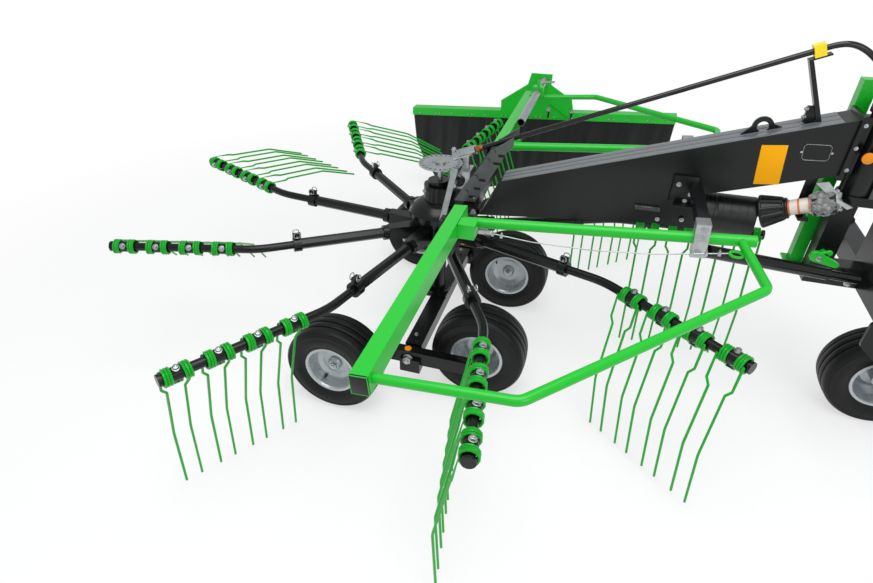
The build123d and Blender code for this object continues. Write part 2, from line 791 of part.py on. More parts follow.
# Lower link beam with a plate and a link pin at each end
with BuildPart() as lower_link_beam:
    with Locations((mast_x, 0, foot_bar_bottom)):
        Box(cross_tube_size, link_plate_y * 2, cross_tube_size,
            align=(Align.MIN, Align.CENTER, Align.MIN))
    for side in (-1, 1):
        with BuildSketch(Plane.XZ.offset(-side * link_plate_y)):
            with BuildLine():
                Polyline((link_plate_rear_x, foot_bar_bottom), (link_plate_rear_x, link_plate_top),
                         (mast_x + cross_tube_size, link_plate_top),
                         (mast_x + cross_tube_size, link_plate_bottom),
                         (link_pin_x - link_plate_round, link_plate_bottom),
                         (link_plate_rear_x, foot_bar_bottom))
            make_face()
            fillet(vertices(), radius=link_plate_round / 2)
        extrude(amount=-side * link_plate_thickness)
        with BuildSketch(Plane.XZ.offset(-side * link_plate_y)):
            with Locations((link_pin_x, link_pin_height)):
                Circle(link_pin_radius)
        extrude(amount=-side * (link_plate_thickness + link_pin_length))
save(lower_link_beam, "lower_link_beam")

# Drive input under the beam and the drive shaft parked on its hook
with BuildPart() as input_housing:
    with Locations((deep_web_end_x, 0, input_height)):
        Box(input_x - deep_web_end_x, beam_width - 2 * beam_wall, input_box_height,
            align=(Align.MIN, Align.CENTER, Align.CENTER))
    with BuildSketch(Plane.YZ.offset(input_x)):
        with Locations((0, input_height)):
            Circle(input_flange_radius)
    extrude(amount=input_flange_thickness)
    with BuildSketch(Plane.YZ.offset(input_x + input_flange_thickness)):
        with Locations((0, input_height)):
            Circle(stub_shaft_radius)
    extrude(amount=guard_pot_length / 2 - stub_shaft_radius)
save(input_housing, "input_housing")

pot_x = input_x + input_flange_thickness
with BuildPart() as shaft_guard_pot:
    with BuildSketch(Plane.YZ.offset(pot_x)):
        with Locations((0, input_height)):
            Circle(guard_pot_radius)
            Circle(guard_pot_radius - guard_pot_wall, mode=Mode.SUBTRACT)
    extrude(amount=guard_pot_length)
    with BuildSketch(Plane.YZ.offset(pot_x)):
        with Locations((0, input_height)):
            Circle(guard_pot_radius)
            Circle(stub_shaft_radius + pin_gap, mode=Mode.SUBTRACT)
    extrude(amount=guard_pot_wall)
save(shaft_guard_pot, "shaft_guard_pot")

joint_x = pot_x + guard_pot_length / 2
shaft_plane = Plane(Location((joint_x, 0, input_height), (0, 0, -shaft_turn))
                    * Location((0, 0, 0), (0, 90 - shaft_tilt, 0)))
with BuildPart() as drive_shaft:
    with BuildSketch(Plane.YZ.offset(joint_x - stub_shaft_radius + seat_gap)):
        with Locations((0, input_height)):
            Circle(joint_radius)
    extrude(amount=joint_radius)
    with BuildSketch(shaft_plane):
        Circle(stub_shaft_radius)
    extrude(amount=bell_start)
    with BuildSketch(shaft_plane.offset(bell_start)):
        Circle(bell_radius_big)
    with BuildSketch(shaft_plane.offset(bell_start + bell_length)):
        Circle(bell_radius_small)
    loft()
    with BuildSketch(shaft_plane.offset(bell_start + bell_length)):
        Circle(shaft_tube_radius)
    extrude(amount=shaft_tube_length)
    with BuildSketch(shaft_plane.offset(bell_start + bell_length + shaft_tube_length)):
        Rectangle(yoke_width, yoke_width)
    extrude(amount=yoke_length)
save(drive_shaft, "drive_shaft")

# Rest for the parked drive shaft, hung under the front of the beam
rest_top = beam_top(rest_x - rest_length / 2) - beam_depth - seat_gap
with BuildPart() as shaft_rest:
    with Locations((rest_x, -rest_y, rest_bottom)):
        Box(rest_length, rest_thickness, rest_top - rest_bottom,
            align=(Align.CENTER, Align.CENTER, Align.MIN))
    with Locations((rest_x, -rest_y, rest_bottom)):
        Box(rest_length, rest_width, rest_thickness, align=(Align.CENTER, Align.MAX, Align.MIN))
save(shaft_rest, "shaft_rest")

# Oil line from the rotor head to the clamp on its stay
line_way = Vector(clamp_x - line_start_x, 0, clamp_height - line_start_height)
line_angle = degrees(atan2(clamp_height - line_start_height, clamp_x - line_start_x))
line_plane = Plane(origin=(line_start_x, 0, line_start_height), z_dir=line_way)
with BuildPart() as line_swivel:
    with BuildSketch(line_plane.offset(-swivel_body_length)):
        Circle(swivel_body_radius)
    extrude(amount=swivel_body_length - seat_gap)
    with Locations((swivel_foot_x, 0, bracket_top + seat_gap)):
        Box(swivel_foot_length, swivel_foot_width, swivel_foot_height,
            align=(Align.CENTER, Align.CENTER, Align.MIN))
save(line_swivel, "line_swivel")

with BuildPart() as oil_line:
    with BuildSketch(line_plane):
        Circle(line_radius)
    extrude(amount=line_way.length)
save(oil_line, "oil_line")

clamp_frame = Location((clamp_x, 0, clamp_height), (0, -line_angle, 0))
with BuildPart() as line_clamp:
    with BuildSketch(Plane(clamp_frame * Location((-clamp_block_length / 2, 0, 0), (0, 90, 0)))):
        Rectangle(clamp_block_height, clamp_block_width)
        Circle(line_radius + seat_gap, mode=Mode.SUBTRACT)
    extrude(amount=clamp_block_length)
save(line_clamp, "line_clamp")

stay_top = clamp_frame * Location((0, 0, -clamp_block_height / 2 - seat_gap - stay_thickness / 2))
stay_foot_z = beam_top(stay_foot_x) + seat_gap
stay_corner = stay_top * Location((-clamp_block_length, 0, 0))
with BuildPart() as line_stay:
    with Locations(stay_top):
        Box(clamp_block_length * 2, clamp_block_width, stay_thickness)
    with BuildSketch(Plane.XZ.offset(-stay_width / 2)):
        with BuildLine():
            Polyline((stay_foot_x, stay_foot_z),
                     (stay_corner.position.X, stay_corner.position.Z),
                     (stay_corner.position.X + stay_depth, stay_corner.position.Z),
                     (stay_foot_x + stay_depth, stay_foot_z + stay_depth * beam_slope), close=True)
        make_face()
    extrude(amount=stay_width)
save(line_stay, "line_stay")

# Free hose from the clamp over the swivel to its parked coupling on the left of the mast
hose_runs = [Vector(*end) - Vector(*start) for start, end in zip(hose_route, hose_route[1:])]
hose_radii = [hose_arc_share * min(run.length, after.length) / tan(radians(run.get_angle(after) / 2))
              for run, after in zip(hose_runs, hose_runs[1:])]
print("hose bend radii:", [round(radius) for radius in hose_radii])
with BuildPart() as hose:
    with BuildLine():
        FilletPolyline(*hose_route, radius=hose_radii)
    with BuildSketch(Plane(origin=hose_route[0], z_dir=hose_runs[0])):
        Circle(line_radius)
    sweep()
save(hose, "hose")

coupling_x, coupling_y, coupling_z = hose_route[-1]
with BuildPart() as hose_coupling:
    with BuildSketch(Plane.XY.offset(coupling_z + seat_gap)):
        with Locations((coupling_x, coupling_y)):
            RegularPolygon(coupling_radius, 6)
    extrude(amount=coupling_length)
save(hose_coupling, "hose_coupling")

holder_start_y = mast_width / 2 + seat_gap
with BuildPart() as coupling_holder:
    with BuildSketch(Plane.XY.offset(coupling_z + coupling_length / 2)):
        with Locations((coupling_x, coupling_y)):
            Circle(coupling_radius + holder_wall)
        with Locations((coupling_x, holder_start_y)):
            Rectangle(holder_width, coupling_y - holder_start_y, align=(Align.CENTER, Align.MIN))
        with Locations((coupling_x, coupling_y)):
            RegularPolygon(coupling_radius + seat_gap, 6, mode=Mode.SUBTRACT)
    extrude(amount=holder_height)
save(coupling_holder, "coupling_holder")

# Stabiliser strut from the right guard bracket to the headstock
strut_rear = (guard_bracket_x, -guard_axis_y, strut_rear_height)
strut_way = (strut_front_x - guard_bracket_x, strut_front_y + guard_axis_y,
             strut_front_height - strut_rear_height)
strut_length = sqrt(strut_way[0] ** 2 + strut_way[1] ** 2 + strut_way[2] ** 2)
strut_plane = Plane(origin=strut_rear, z_dir=strut_way)
with BuildPart() as stabiliser_strut:
    with BuildSketch(strut_plane.offset(strut_start)):
        Circle(strut_radius)
    extrude(amount=strut_length * strut_step_share - strut_start)
    with BuildSketch(strut_plane.offset(strut_start)):
        Circle(strut_rod_radius)
    extrude(amount=strut_length - strut_start - strut_eye)
save(stabiliser_strut, "stabiliser_strut")

# Front wheel leg in front of the lower link beam, beside the wheel
leg_y = -jockey_leg_y
arm_rear_x = mast_x + cross_tube_size + seat_gap
leg_bottom = tyre_radius - jockey_leg_size / 2
with BuildPart() as jockey_leg:
    with Locations((arm_rear_x, leg_y, foot_bar_top)):
        Box(jockey_x + jockey_leg_size / 2 - arm_rear_x, jockey_leg_size, jockey_leg_size,
            align=(Align.MIN, Align.CENTER, Align.MAX))
    with Locations((jockey_x, leg_y, leg_bottom)):
        Box(jockey_leg_size, jockey_leg_size, foot_bar_top - leg_bottom,
            align=(Align.CENTER, Align.CENTER, Align.MIN))
    with BuildSketch(Plane.XZ.offset(jockey_leg_y)):
        with Locations((jockey_x, tyre_radius)):
            Circle(axle_radius)
    extrude(amount=-(jockey_leg_y + rim_disc_offset - seat_gap))
save(jockey_leg, "jockey_leg")

# Parking stand: square leg in a sleeve on the far side of the swivel head
sleeve_y = beam_width / 2 + front_flange_margin + stand_size / 2 + stand_sleeve_wall
sleeve_z = beam_front_top - beam_depth / 2
with BuildPart() as stand_sleeve:
    with BuildSketch(Plane.XY.offset(sleeve_z - stand_sleeve_height / 2)):
        with Locations((stand_x, sleeve_y)):
            Rectangle(stand_size + 2 * stand_sleeve_wall, stand_size + 2 * stand_sleeve_wall)
            Rectangle(stand_size + 2 * pin_gap, stand_size + 2 * pin_gap, mode=Mode.SUBTRACT)
    extrude(amount=stand_sleeve_height)
save(stand_sleeve, "stand_sleeve")

with BuildPart() as parking_stand:
    with BuildSketch(Plane.XY.offset(stand_bottom)):
        with Locations((stand_x, sleeve_y)):
            Rectangle(stand_size, stand_size)
    extrude(amount=stand_top - stand_bottom)
    with BuildSketch(Plane.XY.offset(stand_bottom)):
        with Locations((stand_x, sleeve_y)):
            Rectangle(stand_foot, stand_foot)
    extrude(amount=stand_foot_thickness)
save(parking_stand, "parking_stand")

# Guards on both sides, each hinged on its inner tube
guard_angle = degrees(atan2(guard_rise, 1))
beam_face_x = guard_beam_x + (guard_beam_width / 2 + seat_gap) * cos(radians(guard_angle))
hinge_pin_x = guard_beam_x - guard_beam_width / 2 - run_gap


def guard_height(x):
    return guard_axis_height + guard_rise * x


boom_height = guard_height(guard_beam_x) + boom_lift
for label, side in (("right", -1), ("left", 1)):
    axis_y = side * guard_axis_y
    corner_front_x, corner_front_y = guard_corner_front
    corner_rear_x, corner_rear_y = guard_corner_rear
    axis_plane = Plane(origin=(beam_face_x, axis_y, guard_height(beam_face_x)),
                       z_dir=(1, 0, guard_rise))
    with BuildPart() as guard_hoop:
        with BuildSketch(axis_plane):
            Circle(guard_tube_radius)
        extrude(amount=(guard_tube_front_x - beam_face_x) * sqrt(1 + guard_rise ** 2))
        leg_start = (guard_leg_x, axis_y, guard_height(guard_leg_x))
        with BuildLine():
            FilletPolyline(leg_start,
                           (corner_front_x, side * corner_front_y, guard_height(corner_front_x)),
                           (corner_rear_x, side * corner_rear_y, guard_height(corner_rear_x)),
                           (beam_face_x, side * corner_rear_y, guard_height(beam_face_x)),
                           radius=guard_bend_radius)
        leg_way = (corner_front_x - guard_leg_x, side * (corner_front_y - guard_axis_y),
                   guard_rise * (corner_front_x - guard_leg_x))
        with BuildSketch(Plane(origin=leg_start, z_dir=leg_way)):
            Circle(guard_outer_radius)
        sweep()
        with BuildSketch(Plane.XY.offset(wire_ring_height)):
            with Locations((wire_ring_x, side * wire_ring_y)):
                Circle(wire_ring_radius)
                Circle(wire_ring_radius - wire_ring_bar, mode=Mode.SUBTRACT)
        extrude(amount=wire_ring_bar)
    save(guard_hoop, "guard_hoop_" + label)
    wire_start_x = guard_beam_x + guard_beam_width / 2 + hinge_block_length + seat_gap
    wire_end_x = wire_ring_x - wire_ring_radius - seat_gap - pin_gap
    wire_route = [(wire_start_x + share * (wire_end_x - wire_start_x),
                   side * (hinge_block_y + share * (wire_ring_y - hinge_block_y)),
                   wire_start_height + share * (wire_ring_height + wire_ring_bar / 2 - wire_start_height)
                   - sag * guard_wire_sag) for share, sag in wire_sag_shares]
    with BuildPart() as guard_wire:
        with BuildLine():
            FilletPolyline(*wire_route, radius=wire_bend_radius)
        with BuildSketch(Plane(origin=wire_route[0],
                               z_dir=Vector(*wire_route[1]) - Vector(*wire_route[0]))):
            Circle(guard_wire_radius)
        sweep()
    save(guard_wire, "guard_wire_" + label)
    beam_frame = Location((guard_beam_x, 0, guard_height(guard_beam_x)), (0, -guard_angle, 0))
    beam_length = guard_beam_outer_y - guard_beam_inner_y
    with BuildPart() as guard_beam:
        with BuildSketch(Plane(beam_frame * Location((0, side * guard_beam_inner_y, 0),
                                                     (-side * 90, 0, 0)))):
            Rectangle(guard_beam_width, guard_beam_height)
            Rectangle(guard_beam_width - 2 * guard_beam_wall,
                      guard_beam_height - 2 * guard_beam_wall, mode=Mode.SUBTRACT)
        extrude(amount=beam_length)
        with BuildSketch(Plane.XY.offset(guard_height(guard_beam_x) - hinge_block_height)):
            with Locations((guard_beam_x + guard_beam_width / 2, side * hinge_block_y)):
                Rectangle(hinge_block_length, hinge_block_width, align=(Align.MIN, Align.CENTER))
        extrude(amount=hinge_block_height + guard_beam_height / 2)
        with BuildSketch(Plane(origin=(hinge_pin_x, axis_y, guard_height(hinge_pin_x)),
                               z_dir=(1, 0, guard_rise))):
            Circle(hinge_pin_radius + pin_gap)
        extrude(amount=hinge_pin_length, mode=Mode.SUBTRACT)
        if side > 0:
            with BuildSketch(Plane.XZ.offset(-boom_sleeve_y)):
                with Locations((boom_x, boom_height)):
                    Rectangle(boom_sleeve_size, boom_sleeve_size)
                with Locations((boom_x - boom_sleeve_size / 4, boom_height - boom_sleeve_size / 2)):
                    Rectangle(boom_sleeve_size, boom_sleeve_size / 2)
                with Locations((boom_x, boom_height)):
                    Circle(boom_radius + pin_gap, mode=Mode.SUBTRACT)
            extrude(amount=-boom_sleeve_length)
            with Locations((boom_x, boom_sleeve_y + boom_sleeve_length / 2,
                            boom_height + boom_sleeve_size / 2)):
                Cylinder(clamp_screw_radius, clamp_screw_height,
                         align=(Align.CENTER, Align.CENTER, Align.MIN))
    save(guard_beam, "guard_beam_" + label)

# Static hinge carriers beside the gear housing, each with an upright lug and a hinge pin
carrier_x = hinge_pin_x - carrier_lug
carrier_start_y = gear_box_width / 2 + seat_gap
carrier_end_y = guard_axis_y + carrier_lug_width / 2
with BuildPart() as guard_carrier:
    for side in (-1, 1):
        with Locations((carrier_x - carrier_lug, side * carrier_start_y, carrier_top)):
            Box(carrier_size, carrier_end_y - carrier_start_y, carrier_size,
                align=(Align.MIN, Align.MIN if side > 0 else Align.MAX, Align.MAX))
        with Locations((carrier_x - carrier_lug, side * guard_axis_y, carrier_top - overrun)):
            Box(carrier_lug, carrier_lug_width, guard_height(carrier_x) + carrier_lug - carrier_top,
                align=(Align.MIN, Align.CENTER, Align.MIN))
        with BuildSketch(Plane(origin=(carrier_x - carrier_lug / 2, side * guard_axis_y,
                                       guard_height(carrier_x - carrier_lug / 2)),
                               z_dir=(1, 0, guard_rise))):
            Circle(hinge_pin_radius)
        extrude(amount=carrier_lug * 3 / 2 + hinge_pin_length)
save(guard_carrier, "guard_carrier")

# Front hinge brackets: zinc plates round the guard tubes on arms from the beam
bracket_height_z = guard_height(guard_bracket_x)
bracket_rear_x = guard_bracket_x - guard_bracket_width / 2
arm_y = guard_axis_y - guard_tube_radius - guard_bracket_thickness - seat_gap
for label, side in (("right", -1), ("left", 1)):
    with BuildPart() as guard_bracket:
        with BuildSketch(Plane(origin=(bracket_rear_x, side * guard_axis_y, guard_height(bracket_rear_x)),
                               x_dir=(0, 1, 0), z_dir=(1, 0, guard_rise))):
            Circle(guard_tube_radius + pin_gap + guard_bracket_thickness)
            Rectangle(2 * (guard_tube_radius + guard_bracket_thickness), guard_bracket_height)
            Circle(guard_tube_radius + pin_gap, mode=Mode.SUBTRACT)
        extrude(amount=guard_bracket_width)
    save(guard_bracket, "guard_bracket_" + label)
    with BuildPart() as guard_arm:
        with BuildSketch(Plane.XZ.offset(-side * beam_width / 2)):
            with Locations((guard_bracket_x, bracket_height_z + guard_arm_lift)):
                Rectangle(guard_arm_size, guard_arm_size)
        extrude(amount=-side * (arm_y - beam_width / 2))
    save(guard_arm, "guard_arm_" + label)

# Swath curtain: folded rail and gusset plate on the boom tube, which slides in its sleeve
def rail_height(x):
    return curtain_top + curtain_rise * (x - guard_beam_x)


with BuildPart() as curtain_frame:
    with BuildSketch(Plane.XZ.offset(-curtain_y)):
        with BuildLine():
            Polyline((curtain_rear_x, rail_height(curtain_rear_x) - curtain_rail),
                     (curtain_rear_x, rail_height(curtain_rear_x)),
                     (curtain_front_x, rail_height(curtain_front_x)),
                     (curtain_front_x, rail_height(curtain_front_x) - curtain_rail), close=True)
        make_face()
    extrude(amount=-curtain_rail_thickness)
    with BuildSketch(Plane.XZ.offset(-curtain_y)):
        with BuildLine():
            Polyline((curtain_rear_x, rail_height(curtain_rear_x)),
                     (curtain_rear_x, rail_height(curtain_rear_x) - curtain_rail_thickness),
                     (curtain_front_x, rail_height(curtain_front_x) - curtain_rail_thickness),
                     (curtain_front_x, rail_height(curtain_front_x)), close=True)
        make_face()
    extrude(amount=-curtain_flange)
    with BuildSketch(Plane.XZ.offset(-curtain_y + curtain_rail_thickness)):
        with BuildLine():
            Polyline(*gusset_outline, close=True)
        make_face()
    extrude(amount=-curtain_rail_thickness)
    with BuildSketch(Plane.XZ.offset(-curtain_y)):
        with Locations((boom_x, boom_height - boom_radius)):
            Rectangle(boom_radius * 2, boom_radius * 4)
    extrude(amount=curtain_rail_thickness)
save(curtain_frame, "curtain_frame")

with BuildPart() as boom_tube:
    with BuildSketch(Plane.XZ.offset(-boom_start_y)):
        with Locations((boom_x, boom_height)):
            Circle(boom_radius)
            Circle(boom_radius - boom_wall, mode=Mode.SUBTRACT)
    extrude(amount=boom_start_y - curtain_y + curtain_rail_thickness + seat_gap)
save(boom_tube, "boom_tube")

cloth_y = curtain_y + curtain_rail_thickness + seat_gap
cloth_top = curtain_rail_thickness + seat_gap
with BuildPart() as curtain:
    with BuildSketch(Plane.XZ.offset(-cloth_y)):
        with BuildLine():
            Polyline((curtain_rear_x, rail_height(curtain_rear_x) - cloth_top),
                     (curtain_front_x, rail_height(curtain_front_x) - cloth_top),
                     (curtain_front_x - curtain_taper, cloth_bottom),
                     (curtain_rear_x + curtain_taper + curtain_cut_length, cloth_bottom),
                     (curtain_rear_x + curtain_taper, cloth_bottom + curtain_cut_height),
                     close=True)
        make_face()
    extrude(amount=-curtain_cloth)
save(curtain, "curtain")
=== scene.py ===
# %% [markdown]
# A rotary hay rake on its own wheels, dressed in Blender over a fixed CAD frame. The frame brings the
# solids, the names of the bodies and the joints. Everything here is in metres, with the rotor's axis
# at the origin, +X towards the tractor and +Z up.

# %% Load the frame
import bpy
import bmesh
from math import atan2, cos, pi, radians, sin
from mathutils import Matrix, Vector


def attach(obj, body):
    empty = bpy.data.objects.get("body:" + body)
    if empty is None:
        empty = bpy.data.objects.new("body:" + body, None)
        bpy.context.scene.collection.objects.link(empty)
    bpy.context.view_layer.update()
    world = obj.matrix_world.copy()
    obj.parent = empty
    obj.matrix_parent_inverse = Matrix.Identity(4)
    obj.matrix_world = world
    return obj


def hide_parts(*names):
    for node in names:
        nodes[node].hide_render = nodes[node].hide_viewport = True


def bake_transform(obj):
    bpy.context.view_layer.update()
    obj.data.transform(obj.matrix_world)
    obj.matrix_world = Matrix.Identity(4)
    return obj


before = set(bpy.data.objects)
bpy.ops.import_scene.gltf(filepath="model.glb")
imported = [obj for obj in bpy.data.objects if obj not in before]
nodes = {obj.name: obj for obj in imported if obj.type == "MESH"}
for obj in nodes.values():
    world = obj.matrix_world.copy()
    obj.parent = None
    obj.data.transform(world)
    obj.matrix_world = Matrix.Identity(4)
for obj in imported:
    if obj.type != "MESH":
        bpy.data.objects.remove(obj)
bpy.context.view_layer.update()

# %% [markdown]
# The camera stands where the photographer stood: 1.8 m up, to the rear right of the rotor, looking
# forward and down. A lens of 23 mm on a 36 mm sensor takes in the whole machine from so near.

# %% Camera
yaw, pitch, roll = radians(-18.4646), radians(34.2543), radians(-0.337)
look = Vector((sin(yaw) * cos(pitch), cos(yaw) * cos(pitch), -sin(pitch)))
level = Vector((cos(yaw), -sin(yaw), 0.0))
upward = level.cross(look)
right = cos(roll) * level + sin(roll) * upward
top = -sin(roll) * level + cos(roll) * upward
camera_place = (0.6447, -2.2352, 1.8063)
camera_data = bpy.data.cameras.new("camera")
camera_data.sensor_width = 36.0
camera_data.lens = 23.446
camera_data.shift_x = 0.0225
camera_data.shift_y = -0.0008
camera_data.clip_start = 0.05
camera = bpy.data.objects.new("camera", camera_data)
camera.matrix_world = (Matrix.Translation(camera_place)
                       @ Matrix((right, top, -look)).transposed().to_4x4())
bpy.context.scene.collection.objects.link(camera)
bpy.context.scene.camera = camera
bpy.context.scene.view_settings.view_transform = "Standard"

# %% [markdown]
# Paints are written as the hex colours that an editor shows. The shaders want linear light, so one
# function turns them. One more adds a node with its settings and its links, and another starts a
# material with its main shader, because each finish below needs both.

# %% Colours and nodes
def linear(colour):
    parts = [int(colour[i:i + 2], 16) / 255 for i in (0, 2, 4)]
    return [c / 12.92 if c <= 0.04045 else ((c + 0.055) / 1.055) ** 2.4 for c in parts] + [1.0]


def add(tree, kind, settings=None, links=None):
    node = tree.nodes.new(kind)
    for name, value in (settings or {}).items():
        if isinstance(name, str) and hasattr(node, name):
            setattr(node, name, value)
        else:
            node.inputs[name].default_value = value
    for name, source in (links or {}).items():
        tree.links.new(source, node.inputs[name])
    return node


def start(name, metallic, roughness, ior=1.5, coat=0.0, specular=0.5):
    material = bpy.data.materials.new(name)
    material.use_nodes = True
    tree = material.node_tree
    shader = tree.nodes["Principled BSDF"]
    shader.inputs["Metallic"].default_value = metallic
    shader.inputs["Roughness"].default_value = roughness
    shader.inputs["IOR"].default_value = ior
    shader.inputs["Coat Weight"].default_value = coat
    shader.inputs["Specular IOR Level"].default_value = specular
    place = add(tree, "ShaderNodeTexCoord").outputs["Object"]
    return material, tree, shader, place


# %% [markdown]
# Steel parts are sprayed with satin enamel: the arms, the hub and the beam black, the rims silver,
# the guards and the tines green. Sprayed enamel has a faint orange peel of about 2 mm, a film of
# dust that lies unevenly, and a thinner, lighter coat along edges. One function makes them all,
# since only the colours and the gloss differ.

# %% Enamel paints
def enamel(name, colour, dusty, roughness, coat, dust, specular=0.5, metallic=0.0):
    material, tree, shader, place = start(name, metallic, roughness, 1.5, coat, specular)
    shader.inputs["Coat Roughness"].default_value = 0.15
    film = add(tree, "ShaderNodeTexNoise", {"Scale": 9.0, "Detail": 6.0, "Roughness": 0.62},
               {"Vector": place})
    spread = add(tree, "ShaderNodeMapRange", {"From Min": 0.42, "From Max": 0.78, "To Max": dust},
                 {"Value": film.outputs["Fac"]})
    edges = add(tree, "ShaderNodeNewGeometry")
    rim = add(tree, "ShaderNodeMapRange", {"From Min": 0.52, "From Max": 0.62, "To Max": 0.35},
              {"Value": edges.outputs["Pointiness"]})
    both = add(tree, "ShaderNodeMath", {"operation": "MAXIMUM"},
               {0: spread.outputs["Result"], 1: rim.outputs["Result"]})
    paint = add(tree, "ShaderNodeMix", {"data_type": "RGBA", 6: linear(colour), 7: linear(dusty)},
                {0: both.outputs["Value"]})
    tree.links.new(paint.outputs[2], shader.inputs["Base Color"])
    gloss = add(tree, "ShaderNodeMapRange", {"To Min": roughness, "To Max": min(1.0, roughness + 0.3)},
                {"Value": spread.outputs["Result"]})
    tree.links.new(gloss.outputs["Result"], shader.inputs["Roughness"])
    # orange peel, 2 mm across and a few hundredths of a millimetre deep
    peel = add(tree, "ShaderNodeTexNoise", {"Scale": 420.0, "Detail": 2.0}, {"Vector": place})
    bump = add(tree, "ShaderNodeBump", {"Strength": 0.12, "Distance": 0.0004},
               {"Height": peel.outputs["Fac"]})
    tree.links.new(bump.outputs["Normal"], shader.inputs["Normal"])
    return material


black_enamel = enamel("satin_black_enamel", "090A0B", "191A1B", 0.24, 0.0, 0.15, 0.34)
# painted sheen: a mid grey that stands in for the light on the black beam's top
grey_sheen_enamel = enamel("grey_enamel_painted_sheen", "5F6467", "767B7E", 0.28, 0.1, 0.2)
green_enamel = enamel("green_enamel", "14B427", "28C03A", 0.28, 0.1, 0.15, 0.35)
tine_enamel = enamel("bright_green_tine_enamel", "08A01E", "12AC2C", 0.3, 0.0, 0.12, 0.3)
silver_enamel = enamel("silver_rim_paint", "B2B8BB", "C0C4C6", 0.27, 0.3, 0.2, 0.5, 0.5)
yellow_enamel = enamel("yellow_enamel", "F0D400", "EBD93C", 0.35, 0.1, 0.1, 0.3)
amber_film = enamel("amber_printed_film", "F0A408", "E8A818", 0.45, 0.0, 0.1, 0.1)

# %% [markdown]
# Bright zinc is electroplated and passivated: a pale metal with a slightly blue, cloudy tint that
# changes over a few centimetres. The clouds are in the base colour; on zinc their dark side is
# deepened as painted reflection of dark surroundings that the white studio lacks, so they are part
# tint and part painted reflection. The small scuffs are in the roughness, so that the plates shine
# unevenly, as they do on the real bracket.

# %% Zinc, bare steel and copper
def plated(name, colour, cloud_dark, roughness, scuffs):
    material, tree, shader, place = start(name, 1.0, roughness)
    cloud = add(tree, "ShaderNodeTexNoise", {"Scale": 26.0, "Detail": 5.0, "Roughness": 0.6},
                {"Vector": place})
    cloud_mix = add(tree, "ShaderNodeMix", {"data_type": "RGBA", 6: linear(colour), 7: linear(cloud_dark)},
               {0: cloud.outputs["Fac"]})
    tree.links.new(cloud_mix.outputs[2], shader.inputs["Base Color"])
    scratch = add(tree, "ShaderNodeTexNoise", {"Scale": 160.0, "Detail": 3.0}, {"Vector": place})
    worn = add(tree, "ShaderNodeMath", {"operation": "MULTIPLY_ADD", 1: scuffs, 2: roughness},
               {0: scratch.outputs["Fac"]})
    tree.links.new(worn.outputs["Value"], shader.inputs["Roughness"])
    bump = add(tree, "ShaderNodeBump", {"Strength": 0.08, "Distance": 0.0003},
               {"Height": scratch.outputs["Fac"]})
    tree.links.new(bump.outputs["Normal"], shader.inputs["Normal"])
    return material


# the dark cloud colour of zinc is partly painted reflection, partly tint
zinc = plated("bright_zinc_plated_steel", "D0D4D4", "8A9092", 0.2, 0.25)
dark_steel = plated("dark_phosphated_steel", "7A7D7E", "626567", 0.34, 0.2)
copper = plated("copper_plated_fitting", "B5754A", "9A5F3D", 0.3, 0.2)

# %% [markdown]
# Moulded parts have no coat of paint. Polypropylene caps and the shaft guard carry the fine grain
# of their mould, about 1 mm, and look duller than paint. The hose jacket is smooth extruded rubber
# with a wet gloss. Tyre rubber is nearly black with a soft shine, and greyer where dust lies on it.

# %% Plastics and rubbers
def moulded(name, colour, greyed, roughness, grain, depth, coat=0.0, specular=0.5):
    material, tree, shader, place = start(name, 0.0, roughness, 1.49, coat, specular)
    dust = add(tree, "ShaderNodeTexNoise", {"Scale": 14.0, "Detail": 5.0}, {"Vector": place})
    lift = add(tree, "ShaderNodeMapRange", {"From Min": 0.45, "From Max": 0.8, "To Max": 0.5},
               {"Value": dust.outputs["Fac"]})
    mixed = add(tree, "ShaderNodeMix", {"data_type": "RGBA", 6: linear(colour), 7: linear(greyed)},
                {0: lift.outputs["Result"]})
    tree.links.new(mixed.outputs[2], shader.inputs["Base Color"])
    grit = add(tree, "ShaderNodeTexVoronoi", {"Scale": grain}, {"Vector": place})
    bump = add(tree, "ShaderNodeBump", {"Strength": 0.2, "Distance": depth},
               {"Height": grit.outputs["Distance"]})
    tree.links.new(bump.outputs["Normal"], shader.inputs["Normal"])
    return material


black_plastic = moulded("moulded_black_polypropylene", "0D0E0F", "1C1D1E", 0.38, 900.0, 0.0003, 0.0, 0.4)
hose_rubber = moulded("glossy_hose_rubber", "08090A", "131415", 0.18, 500.0, 0.0001, 0.2, 0.4)
tyre_rubber = moulded("tyre_rubber", "090A0A", "151515", 0.45, 350.0, 0.0004, 0.0, 0.28)
pale_label = moulded("pale_printed_film", "DCD5CC", "C6BFB6", 0.35, 300.0, 0.0001)
orange_ring = moulded("orange_polypropylene", "CF6A2C", "C97A48", 0.42, 900.0, 0.0002)

# %% [markdown]
# The curtain is PVC-coated polyester cloth. Its threads are about 1 mm apart under the coating, so
# two wave patterns crossed at right angles raise them, 3 mm apart here because finer would not show.

